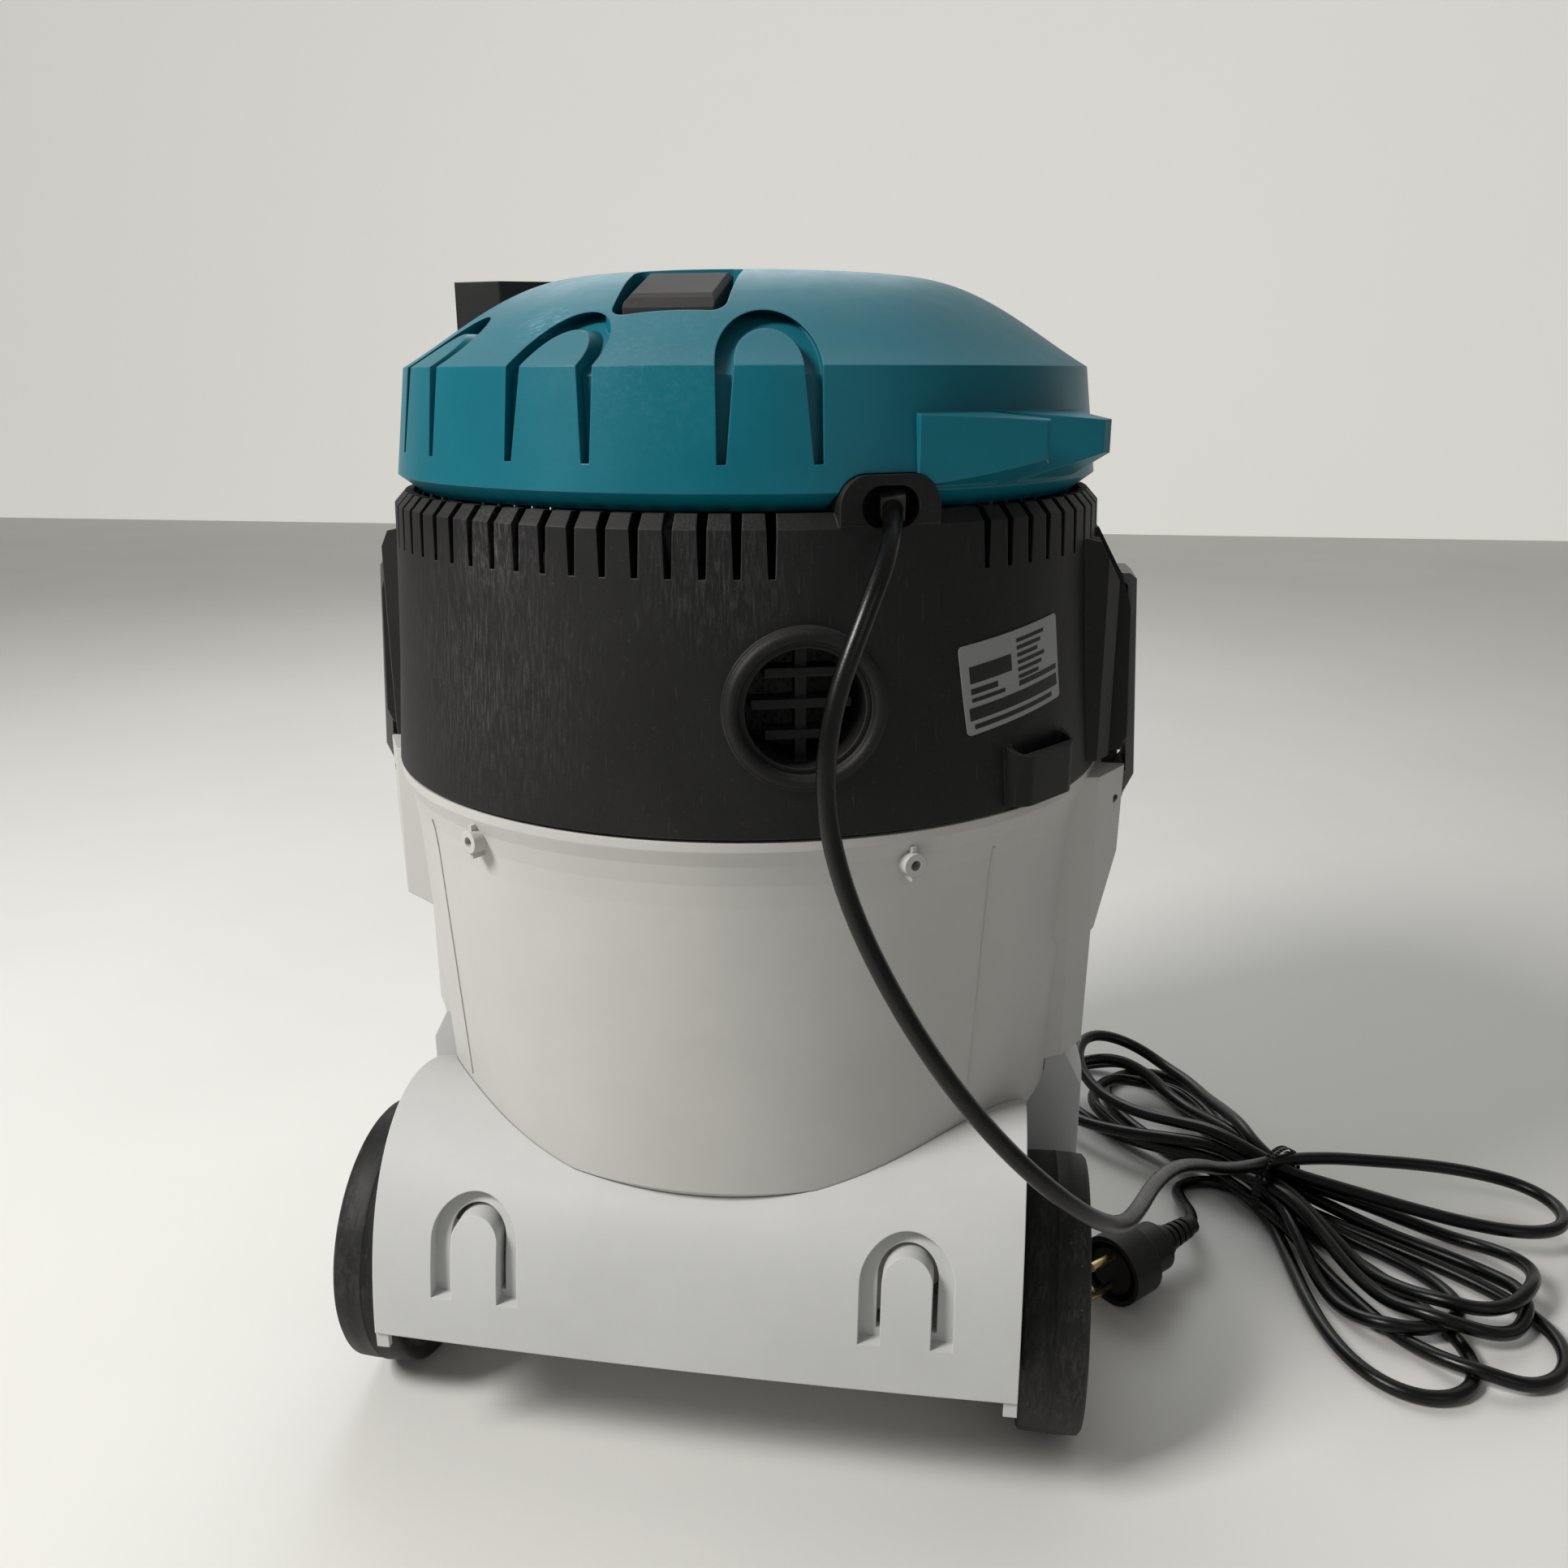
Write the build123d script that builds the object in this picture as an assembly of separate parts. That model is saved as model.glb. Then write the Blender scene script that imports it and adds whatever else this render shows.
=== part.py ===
from build123d import *
import os
from math import cos, hypot, pi, radians, sin, tan

# Wet-and-dry shop vacuum of the 25 litre class, one solid or group of solids per real piece.
# Millimetres.  X runs along the wheel axles, +Y is the back, +Z is up, and the origin is on
# the floor under the container's own axis.  "left" is +X and "right" is -X.
# An angle on the body is measured from the back (+Y) towards the right (-X).

# ---------------------------------------------------------------- driving dimensions
WALL = 3.0                    # moulded wall of the container and the motor housing
PART_GAP = 0.3                # air left between two mouldings that sit close together

CONTAINER_FLOOR_Z = 56.0
CONTAINER_RIM_Z = 314.0
CONTAINER_RIM_R = 174.0
SEAM_Z = 145.0                # height of the seam between container and chassis
SEAM_R = 158.6
SHOE_TOP_Z = 133.0            # below this the container narrows to pass between the wheels
SHOE_R = 147.0
RIB_FOOT_Z = 158.5            # the side ribs stand just above the chassis skirt
FENDER_TOP_Z = 165.0          # crest of the rear body over the wheels
FENDER_MID_Z = 154.0          # crest in the middle of its saddle

HOUSING_FOOT_Z = 315.5
DECK_Z = 317.0                # underside of the motor deck
DECK_T = 4.0
HOUSING_TOP_Z = 441.0
VENT_COUNT = 80
VENT_W = 4.4
VENT_DEPTH_Z = 24.0

COVER_FOOT_Z = 441.3
COVER_TOP_Z = 534.0
COVER_WALL = 3.5
GROOVE_ANGLES = [13.5, -18.0, -49.5, -144.0, -175.5, 153.0, 121.5]
GROOVE_HALF_W = 20.0
GROOVE_DEPTH = 5.5

CHASSIS_R = 178.0
CHASSIS_HALF_W = 147.0
CHASSIS_WALL = 4.0
CHASSIS_FLOOR_Z = 52.0
SKIRT_END_Y = 22.0            # the front skirt stops here, just in front of the wheels
HOLDER_X = 97.8               # accessory holders in the rear body
HOLDER_DEPTH = 6.5

WHEEL_R = 65.0
WHEEL_Y = 92.0
WHEEL_INNER_X = 148.5
WHEEL_OUTER_X = 178.0
AXLE_R = 5.0
CASTER_R = 22.5
CASTER_X = 95.0
CASTER_Y = -136.0
CASTER_TRAIL = 15.0
RUNNING_GAP = 0.05            # radial clearance of a pin that turns in its bore

LATCH_HALF_W = 18.0
LATCH_PIN_X = 182.5
LATCH_PIN_Z = 296.0
LATCH_PIN_R = 2.0

SCOOP_ANGLE = 55.6
PORT_ANGLE = 17.8
PORT_Z = 367.0
PORT_R = 26.0
OUTLET_ANGLE = 29.5
OUTLET_Z = 443.0
OUTLET_HALF_W = 21.0
OUTLET_TOP_Z = 455.0

BOSS_ANGLE = 32.8             # accessory bosses below the rim
BOSS_Z = 300.0
BOSS_R = 5.0

INLET_Z = 238.0
INLET_BORE_R = 19.0

BUTTON_X = 8.0
BUTTON_Y = 104.0
BUTTON_FLOOR_Z = 506.0
BUTTON_FOOT_Z = 513.0

SOCKET_X = 102.0
SOCKET_Y = -32.0
LID_HINGE_Y = -57.0
LID_HINGE_Z = 532.4
CONSOLE_TOP_Z = 534.0
KNOB_Z = 472.0

FIX_ANGLES = [0, 45, 90, 135, 225, 270, 315]   # posts for the cover screws, none at the switch
FIX_R = 149.0                 # pitch radius of those posts
POST_R = 5.5
SHANK_R = 1.8                 # screw shank, and the hole it sits in
LUG_T = 3.0                   # thickness of the cover's screw lugs
HOOD_FOOT_R = 141.0           # outer radius of the flange at the foot of the motor hood
HOOD_FOOT_T = 2.5
HOOD_SCREW_R = 134.0
HOOD_ANGLES = [45 + 60 * step for step in range(6)]

CORD_R = 3.8
EXIT_AT = (-82.7, 143.9, 442.0)        # where the cord leaves the gland
EXIT_WAY = (-0.12, 0.93, -0.36)
PLUG_AT = (-200.0, 12.0, 19.8)         # middle of the plug's face
PLUG_WAY = (0.69, 0.72, 0.0)
TIE_AT = (-300.0, -94.0)
TIE_TURN = -40.6
HANK_TOP = 27.0

BOTH_SIDES = (("left", 1), ("right", -1))


# ---------------------------------------------------------------- small tools
def turned(points):
    """Solid of revolution about Z from a closed outline of (radius, height) points."""
    return revolve(Plane.XZ * make_face(Polyline(*points, close=True)), Axis.Z)


def ring(r_out, r_in, z0, z1):
    """Plain ring about Z."""
    return turned([(r_in, z0), (r_out, z0), (r_out, z1), (r_in, z1)])


def disc(radius, z0, z1):
    """Plain disc about Z."""
    return Pos(0, 0, (z0 + z1) / 2) * Cylinder(radius, z1 - z0)


def rod_x(radius, x0, x1, y, z):
    """Round rod along X."""
    return Pos((x0 + x1) / 2, y, z) * Rot(0, 90, 0) * Cylinder(radius, abs(x1 - x0))


def rod_y(radius, y0, y1, x, z):
    """Round rod along Y."""
    return Pos(x, (y0 + y1) / 2, z) * Rot(90, 0, 0) * Cylinder(radius, abs(y1 - y0))


def block(x0, x1, y0, y1, z0, z1):
    """Box between two corners."""
    size = (abs(x1 - x0), abs(y1 - y0), abs(z1 - z0))
    return Pos((x0 + x1) / 2, (y0 + y1) / 2, (z0 + z1) / 2) * Box(*size)


def slab_z(points, z0, z1):
    """Prism on a plan outline, from height z0 to z1."""
    return Pos(0, 0, z0) * extrude(make_face(Polyline(*points, close=True)), z1 - z0)


def slab_y(points, y0, y1):
    """Prism on an (x, z) outline, from y0 to y1."""
    face = Plane.XZ * make_face(Polyline(*points, close=True))
    return Pos(0, y1, 0) * extrude(face, y1 - y0)


def mirrored_plan(half):
    """Plan outline closed by its own mirror image in Y, for features on the +X side."""
    return half + [(x, -y) for x, y in reversed(half)]


def placed(angle, shape):
    """Shape drawn at the back, carried round the body to an angle."""
    return Rot(0, 0, angle) * shape


def flipped(shape, side):
    """Shape drawn on the left, or its mirror image on the right."""
    return shape if side > 0 else mirror(shape, Plane.YZ)


# ---------------------------------------------------------------- container
def container_outer(grow=0.0):
    """Outer form of the container, with an optional allowance all round."""
    return turned([
        (0, CONTAINER_FLOOR_Z - grow), (137 + grow, CONTAINER_FLOOR_Z - grow),
        (144.5 + grow, 64), (SHOE_R + grow, SHOE_TOP_Z), (SEAM_R + grow, SEAM_Z),
        (168.0 + grow, 284), (169.2 + grow, 294), (171.2 + grow, 303),
        (CONTAINER_RIM_R + grow, 310), (CONTAINER_RIM_R + grow, CONTAINER_RIM_Z),
        (0, CONTAINER_RIM_Z),
    ])


def container_hollow():
    """Inside of the container, open at the top."""
    return turned([
        (0, CONTAINER_FLOOR_Z + WALL), (135.5, CONTAINER_FLOOR_Z + WALL), (141.5, 66),
        (SHOE_R - WALL, SHOE_TOP_Z), (SEAM_R - WALL, SEAM_Z + 1), (164.8, 284), (166, 298),
        (166, CONTAINER_RIM_Z + 1), (0, CONTAINER_RIM_Z + 1),
    ])


def latch_bracket():
    """Bracket on the left side that carries the latch, and the rib that runs down from it."""
    bracket_plan = mirrored_plan([(150, 50), (174, 45), (187, 21)])
    bracket_side = [(150, 225), (176, 234), (186, 268), (187, 311), (150, 311)]
    bracket = slab_z(bracket_plan, 225, 311) & slab_y(bracket_side, -60, 60)
    rib_plan = mirrored_plan([(150, 40), (165, 30), (177.5, 9)])
    rib_side = [(150, RIB_FOOT_Z), (176, RIB_FOOT_Z), (178, 245), (150, 245)]
    rib = slab_z(rib_plan, RIB_FOOT_Z, 245) & slab_y(rib_side, -60, 60)
    slot = block(176.5, 200, -LATCH_HALF_W - 0.6, LATCH_HALF_W + 0.6, 285, 320)
    pin_bore = rod_y(LATCH_PIN_R, -30, 30, LATCH_PIN_X, LATCH_PIN_Z)
    return bracket + rib - slot - pin_bore


def mould_line(angle):
    """Fine raised parting line down the container wall."""
    strip = placed(angle, block(-0.5, 0.5, 140, 190, FENDER_TOP_Z + 1, 298))
    return strip & container_outer(0.5)


def container():
    """Dust container with rim, latch brackets, two accessory bosses and the inlet hole."""
    body = container_outer()
    for _, side in BOTH_SIDES:
        body += flipped(latch_bracket(), side)
        body += mould_line(48 * side)
        body += placed(BOSS_ANGLE * side, rod_y(BOSS_R, 160, 176.5, 0, BOSS_Z))
        body += placed(BOSS_ANGLE * side, block(-1.1, 1.1, 160, 175, BOSS_Z - 7.5, BOSS_Z + 7.5))
    body -= container_hollow()
    for _, side in BOTH_SIDES:
        body -= placed(BOSS_ANGLE * side, rod_y(2.2, 167.5, 180, 0, BOSS_Z))
    body -= rod_y(30, -180, -150, 0, INLET_Z)
    return body


def rim_seal():
    """Rubber ring on the container rim that the motor deck closes on."""
    return ring(171.3, 167, CONTAINER_RIM_Z, DECK_Z - PART_GAP)


# ---------------------------------------------------------------- suction inlet
def inlet_spigot():
    """Flanged collar in the front wall that takes the hose cuff."""
    collar = rod_y(29.8, -177, -150, 0, INLET_Z)
    flange = rod_y(37, -175, -169.5, 0, INLET_Z)
    lugs = [Pos(0, 0, INLET_Z) * Rot(0, turn, 0) * block(-6, 6, -177, -171, 33, 41)
            for turn in (90, -90)]
    bore = rod_y(INLET_BORE_R, -190, -140, 0, INLET_Z)
    return collar + flange + lugs - bore


def inlet_deflector():
    """Hood behind the inlet that turns the air down into the container."""
    shell = rod_y(27, -150, -118, 0, INLET_Z)
    shell += block(-27, 27, -150, -118, INLET_Z - 38, INLET_Z)
    shell -= rod_y(24, -151, -121, 0, INLET_Z)
    shell -= block(-24, 24, -151, -121, INLET_Z - 40, INLET_Z)
    return shell


# ---------------------------------------------------------------- chassis
def fender_face(x, rear_y, crest_z, inset=0.0):
    """Side section of the rear body at one x, inset by a wall thickness if asked."""
    rear = rear_y - inset
    crest = crest_z - inset
    front = SKIRT_END_Y - 2 + inset
    curve = Plane.YZ * Spline(
        (rear, 66), (rear - 2.5, 92), (rear - 19 + inset * 0.2, 138 - inset * 0.7),
        (128, crest - 3), (104, crest), (70, crest - 11), (42, crest - 32), (front, crest - 56))
    base = 66 if inset == 0 else 40
    corners = [(front, crest - 56), (front, base), (rear, base)]
    if inset:
        corners.append((rear, 66))
    straight = Plane.YZ * Polyline(*corners)
    return Pos(x, 0, 0) * make_face(curve + straight)


def fender_form(half_w, inset=0.0):
    """Saddle-shaped rear body, low in the middle and high over the wheels."""
    sections = [
        fender_face(-half_w, 175.5, FENDER_TOP_Z, inset),
        fender_face(0, 178, FENDER_MID_Z, inset),
        fender_face(half_w, 175.5, FENDER_TOP_Z, inset),
    ]
    return loft(sections)


def arch_face(half_w, top_z, foot_z):
    """Outline of an upright arch: straight sides and a half-round top, in (x, z)."""
    spring_z = top_z - half_w
    lines = Polyline((half_w, spring_z), (half_w, foot_z), (-half_w, foot_z), (-half_w, spring_z))
    top = ThreePointArc((-half_w, spring_z), (0, top_z), (half_w, spring_z))
    return Plane.XZ * make_face(lines + top)


def arch_prism(half_w, top_z, foot_z, y0, y1):
    """Arch outline drawn out along Y."""
    return Pos(0, y1, 0) * extrude(arch_face(half_w, top_z, foot_z), y1 - y0)


def holder_cuts(form):
    """Recess and slot of one accessory holder: a tongue standing in an inverted U."""
    tongue = arch_prism(11, 127, 60, 100, 200)
    skin = form - Pos(0, -HOLDER_DEPTH, 0) * form
    recess = (arch_prism(20.5, 136, 88, 100, 200) - tongue) & skin
    slot = arch_prism(13.2, 129.2, 92, 140, 200) - tongue
    return recess, slot


def holder_backing(form):
    """Thicker wall behind one accessory holder."""
    depth = HOLDER_DEPTH + CHASSIS_WALL
    return arch_prism(24, 139, 84, 100, 200) & (Pos(0, -1, 0) * form - Pos(0, -depth, 0) * form)


def chassis():
    """Lower body: front skirt, rear body over the wheels, floor, and the caster sockets."""
    skirt = turned([
        (171, CHASSIS_FLOOR_Z), (CHASSIS_R, CHASSIS_FLOOR_Z), (CHASSIS_R, 138),
        (168, 158), (SEAM_R + 1.2, 158), (SEAM_R + 1.2, 152), (174, 134), (174, 60), (171, 60),
    ])
    skirt_form = turned([(0, CHASSIS_FLOOR_Z), (CHASSIS_R, CHASSIS_FLOOR_Z), (CHASSIS_R, 138),
                         (168, 158), (0, 158)])
    ends = block(-200, 200, SKIRT_END_Y - 4, SKIRT_END_Y, CHASSIS_FLOOR_Z, 200) & skirt_form
    ends -= block(-140, 140, 0, 40, 0, 200)
    skirt -= block(-200, 200, SKIRT_END_Y, 200, 0, 200)
    skirt += ends
    outer = fender_form(CHASSIS_HALF_W)
    shell = outer - fender_form(CHASSIS_HALF_W - CHASSIS_WALL, CHASSIS_WALL)
    for side in (1, -1):
        to_place = Pos(HOLDER_X * side, 0, 0)
        moved = Pos(-HOLDER_X * side, 0, 0) * outer
        shell += to_place * holder_backing(moved)
        recess, slot = holder_cuts(moved)
        shell -= [to_place * recess, to_place * slot]
    floor = disc(172, CHASSIS_FLOOR_Z, CONTAINER_FLOOR_Z)
    floor &= block(-CHASSIS_HALF_W, CHASSIS_HALF_W, -96, 160, 40, 70)
    body = skirt + shell + floor
    for side in (1, -1):
        body += block(132 * side, 147 * side, WHEEL_Y - 12, WHEEL_Y + 12, 54, 80)
        body += Pos(CASTER_X * side, CASTER_Y, 73) * Cylinder(9.5, 42)
        body += block(141 * side, 147 * side, 171.5, 174.5, 58, 68)
    body -= container_outer(PART_GAP)
    for side in (1, -1):
        body -= rod_x(AXLE_R, 126 * side, 150 * side, WHEEL_Y, WHEEL_R)
        body -= Pos(CASTER_X * side, CASTER_Y, 70) * Cylinder(4 + RUNNING_GAP, 40)
    return body


def chassis_screws():
    """Six screws that hold the container on the chassis floor."""
    screw = Pos(0, 0, CHASSIS_FLOOR_Z - 1) * Cylinder(4.5, 2)
    return [Rot(0, 0, 60 * step) * Pos(0, 80, 0) * screw for step in range(6)]


def wheel_axles():
    """Steel stub axles, one in each end of the rear body."""
    return [rod_x(AXLE_R, 134 * side, 174 * side, WHEEL_Y, WHEEL_R) for side in (1, -1)]


# ---------------------------------------------------------------- rear wheels
def wheel_turned(points, side):
    """Solid of revolution about the wheel axle; points are (x, radius) on the left side."""
    spun = revolve(Plane.XZ * make_face(Polyline(*points, close=True)), Axis.X)
    return flipped(Pos(0, WHEEL_Y, WHEEL_R) * spun, side)


def tyre(side):
    """Soft tyre with a slightly crowned tread and a fine centre line."""
    mid = (WHEEL_INNER_X + WHEEL_OUTER_X) / 2
    return wheel_turned([
        (WHEEL_INNER_X, 48), (WHEEL_INNER_X, 63), (WHEEL_INNER_X + 1.4, 64.4), (mid - 0.7, 64.6),
        (mid, WHEEL_R), (mid + 0.7, 64.6), (WHEEL_OUTER_X - 1.6, 64.4), (WHEEL_OUTER_X, 62.6),
        (WHEEL_OUTER_X, 48),
    ], side)


def hub(side):
    """Grey wheel centre: rim, web, boss and five openings in the web."""
    rim = wheel_turned([(149.5, 42), (177, 42), (177, 48), (149.5, 48)], side)
    web = wheel_turned([(160, 11), (164, 11), (164, 42), (160, 42)], side)
    boss = wheel_turned([(149.5, AXLE_R + RUNNING_GAP), (174.5, AXLE_R + RUNNING_GAP),
                         (174.5, 11), (149.5, 11)], side)
    windows = []
    for step in range(5):
        turn = Rot(72 * step, 0, 0)
        window = rod_x(8.5, 155, 170, 0, 26.5)
        windows.append(flipped(Pos(0, WHEEL_Y, WHEEL_R) * turn * window, side))
    return rim + web + boss - windows


def wheel_cap(side):
    """Snap-on cap over the end of the axle."""
    return wheel_turned([(174.8, 0), (177.8, 0), (177.8, 7), (176.4, 12), (174.8, 12)], side)


# ---------------------------------------------------------------- front casters
def caster_fork(side):
    """Swivelling fork with its steel stem."""
    wheel_y = CASTER_Y - CASTER_TRAIL
    crown = Pos(0, CASTER_Y - CASTER_TRAIL / 2, 48.8) * Box(27, 30, 4)
    stem = Pos(0, CASTER_Y, 66) * Cylinder(4, 36)
    cheeks = [slab_z([(11 * s, CASTER_Y + 7), (13.5 * s, CASTER_Y + 7), (13.5 * s, CASTER_Y - 22),
                      (11 * s, CASTER_Y - 22)], 15, 47) for s in (1, -1)]
    bore = rod_x(2.5, -20, 20, wheel_y, CASTER_R)
    return Pos(CASTER_X * side, 0, 0) * (crown + stem + cheeks - bore)


def caster_wheel(side):
    """Small hard wheel."""
    wheel_y = CASTER_Y - CASTER_TRAIL
    body = rod_x(CASTER_R, -9.5, 9.5, wheel_y, CASTER_R)
    body = chamfer(body.edges().filter_by(GeomType.CIRCLE), 2)
    body -= rod_x(2.5 + RUNNING_GAP, -20, 20, wheel_y, CASTER_R)
    return Pos(CASTER_X * side, 0, 0) * body


def caster_axle(side):
    """Pin through the caster fork."""
    wheel_y = CASTER_Y - CASTER_TRAIL
    return Pos(CASTER_X * side, 0, 0) * rod_x(2.5, -14.5, 14.5, wheel_y, CASTER_R)


# ---------------------------------------------------------------- latches
def latch_lever(side):
    """Clip lever: barrel on the pin, plate, curled nose and three finger ridges."""
    plate = [(180, 300), (187, 295), (192, 306), (187, 400), (184, 402.5), (180, 402.5),
             (180, 399.5), (183, 397), (188, 307.5), (183, 301)]
    lever = slab_y(plate, -LATCH_HALF_W, LATCH_HALF_W)
    lever += rod_y(5, -LATCH_HALF_W, LATCH_HALF_W, LATCH_PIN_X, LATCH_PIN_Z)
    for height in (348, 359.5, 371):
        lever += rod_y(2.2, -LATCH_HALF_W + 4, LATCH_HALF_W - 4, 190 - (height - 306) * 0.053, height)
    lever -= rod_y(LATCH_PIN_R + RUNNING_GAP, -30, 30, LATCH_PIN_X, LATCH_PIN_Z)
    return flipped(lever, side)


def latch_pins():
    """Steel pins of the two latches."""
    return [rod_y(LATCH_PIN_R, -22, 22, LATCH_PIN_X * side, LATCH_PIN_Z) for side in (1, -1)]


# ---------------------------------------------------------------- motor housing
def housing_outer(grow=0.0):
    """Outer form of the motor housing, solid."""
    return turned([
        (0, HOUSING_FOOT_Z), (174.4 + grow, HOUSING_FOOT_Z), (170.6 + grow, 367),
        (168.7 + grow, 405), (167.5 + grow, 435.5), (162.5 + grow, HOUSING_TOP_Z),
        (0, HOUSING_TOP_Z),
    ])


def housing_hollow():
    """Inside of the motor housing above its deck."""
    deck_top = DECK_Z + DECK_T
    return turned([
        (0, deck_top), (171, deck_top), (167.6, 367), (165.7, 405), (164.5, 434),
        (158, HOUSING_TOP_Z + 1), (0, HOUSING_TOP_Z + 1),
    ])


def latch_pad():
    """Raised pad on the left side that the latch closes over."""
    plan = mirrored_plan([(150, 52), (172, 46), (178, 34)])
    side = [(150, 319), (178, 319), (178, 392), (179.5, 393), (179.5, 398), (168, 420), (150, 424)]
    cheek = [(160, 319), (184, 319), (187, 326), (184.5, 388), (180, 402), (168, 424), (160, 424)]
    pad = slab_z(plan, 316, 425) & slab_y(side, -60, 60)
    for y0 in (LATCH_HALF_W + 0.8, -LATCH_HALF_W - 5.8):
        pad += slab_y(cheek, y0, y0 + 5)
    return pad


def vent_cutters():
    """Tapered air slots round the top edge, left out beside the cord outlet."""
    foot_z = HOUSING_TOP_Z - VENT_DEPTH_Z
    slot = slab_y([(-VENT_W / 2, HOUSING_TOP_Z + 2), (VENT_W / 2, HOUSING_TOP_Z + 2),
                   (VENT_W / 2 - 0.8, foot_z), (-VENT_W / 2 + 0.8, foot_z)], 155, 180)
    pitch = 360 / VENT_COUNT
    angles = [pitch * step for step in range(VENT_COUNT)]
    return [placed(angle, slot) for angle in angles if not 17 < angle < 43]


def scoop():
    """Small open-topped lug at the foot of the housing."""
    lug = block(-22, 22, 150, 181, 317, 345)
    lug = fillet(lug.edges().filter_by(Axis.Z), 9)
    hollow = block(-19, 19, 171.5, 178.5, 324, 350)
    hollow = fillet(hollow.edges().filter_by(Axis.Z), 3)
    slope = Pos(0, 181, 345) * Rot(-24, 0, 0) * Box(60, 40, 12)
    return placed(SCOOP_ANGLE, lug - slope), placed(SCOOP_ANGLE, hollow)


def outlet_form(grow):
    """Wide low arch round the cord outlet, as a solid, with an allowance all round."""
    half = OUTLET_HALF_W + grow
    form = block(-half, half, 140, 185, 436, OUTLET_TOP_Z + grow)
    return fillet(form.edges().filter_by(Axis.Y).group_by(Axis.Z)[-1], 12 + grow)


def cover_post(angle):
    """Post on the motor deck for one cover screw, tied to the wall by a rib."""
    post = Pos(0, FIX_R, 0) * disc(POST_R, DECK_Z + DECK_T, HOUSING_TOP_Z)
    rib = block(-1.5, 1.5, FIX_R, 166, DECK_Z + DECK_T, 412)
    hole = Pos(0, FIX_R, 0) * disc(SHANK_R, HOUSING_TOP_Z - 16, HOUSING_TOP_Z + 1)
    return placed(angle, post + rib - hole)


def hood_screw_holes():
    """Holes for the hood screws, as solids."""
    hole = Pos(0, HOOD_SCREW_R, 0) * disc(SHANK_R, DECK_Z - 1, DECK_Z + 10)
    return [placed(angle, hole) for angle in HOOD_ANGLES]


def motor_housing():
    """Black housing ring with motor deck, vents, exhaust opening, pads and outlet tongue."""
    lug, lug_hollow = scoop()
    body = housing_outer() + lug
    for _, side in BOTH_SIDES:
        body += flipped(latch_pad(), side)
    body += placed(PORT_ANGLE, rod_y(32.5, 150, 172, 0, PORT_Z))
    lip = Pos(0, 172, PORT_Z) * Rot(90, 0, 0) * Torus(29.3, 3.0)
    body += placed(PORT_ANGLE, lip)
    body += placed(OUTLET_ANGLE, outlet_form(0) & block(-40, 40, 152, 167.2, 400, 480))
    body -= housing_hollow()
    body += [cover_post(angle) for angle in FIX_ANGLES]
    body -= disc(45, 310, 330)
    body -= ring(172, 45, 310, DECK_Z)
    body -= hood_screw_holes()
    body -= lug_hollow
    body -= placed(PORT_ANGLE, rod_y(PORT_R + 0.1, 130, 185, 0, PORT_Z))
    body -= placed(OUTLET_ANGLE, block(-15, 15, 130, 164.5, OUTLET_Z - 10, OUTLET_Z + 11))
    mouth = Plane.XZ * SlotOverall(24, 16)
    body -= placed(OUTLET_ANGLE, Pos(0, 180, OUTLET_Z) * extrude(mouth, 40))
    body -= vent_cutters()
    return body


def exhaust_grille():
    """Tube insert of the exhaust port with three short bars on an upright rib."""
    tube_body = rod_y(PORT_R, 132, 170, 0, PORT_Z) - rod_y(PORT_R - 2, 130, 175, 0, PORT_Z)
    rib = block(-2.2, 2.2, 150, 158, PORT_Z - PORT_R + 1, PORT_Z + PORT_R - 1)
    bars = [block(-half, half, 148, 160, PORT_Z + dz - 1.8, PORT_Z + dz + 1.8)
            for half, dz in ((14.5, 12.5), (20, 0), (14.5, -12.5))]
    return placed(PORT_ANGLE, tube_body + rib + bars)


def rating_plate():
    """Thin curved plate on the housing wall, a little tilted as fitted."""
    outline = Pos(0, 0, 372) * Rot(0, 7, 0) * block(-31, 31, 160, 180, -18.5, 18.5)
    outline = fillet(outline.edges().filter_by(Axis.Y), 2)
    skin = housing_outer(0.5) - housing_outer()
    return placed(51, outline) & skin


# ---------------------------------------------------------------- top cover
def cover_form(inset=0.0, foot_z=COVER_FOOT_Z):
    """Solid form of the top cover, inset by a wall thickness if asked."""
    dome = Spline((75 - 0.1 * inset, 533.4 - inset), (106 - 0.3 * inset, 526.5 - 0.95 * inset),
                  (136 - 0.5 * inset, 509.4 - 0.85 * inset),
                  (159.2 - 0.85 * inset, 494.5 - 0.6 * inset))
    top = Polyline((0, foot_z), (0, COVER_TOP_Z - inset), (75 - 0.1 * inset, 533.4 - inset))
    wall = Polyline((159.2 - 0.85 * inset, 494.5 - 0.6 * inset), (165 - inset, 448.5),
                    (155.4 - inset, foot_z), (0, foot_z))
    return revolve(Plane.XZ * make_face(top + dome + wall), Axis.Z)


def groove_prism(half_w, top_z, foot_z):
    """Arch-shaped prism through the wall and shoulder of the cover."""
    return arch_prism(half_w, top_z, foot_z, 95, 175)


def groove_cutter():
    """Inverted-U groove: an arch over the shoulder with two legs that narrow downwards."""
    tongue_half = GROOVE_HALF_W - 7
    tongue_sides = Polyline((tongue_half, 495), (GROOVE_HALF_W - 3.4, 458),
                            (-GROOVE_HALF_W + 3.4, 458), (-tongue_half, 495))
    tongue_top = ThreePointArc((-tongue_half, 495), (0, 495 + tongue_half), (tongue_half, 495))
    tongue_face = Plane.XZ * make_face(tongue_sides + tongue_top)
    tongue = Pos(0, 176, 0) * extrude(tongue_face, 90)
    return groove_prism(GROOVE_HALF_W, 515, 459) - tongue


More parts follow.
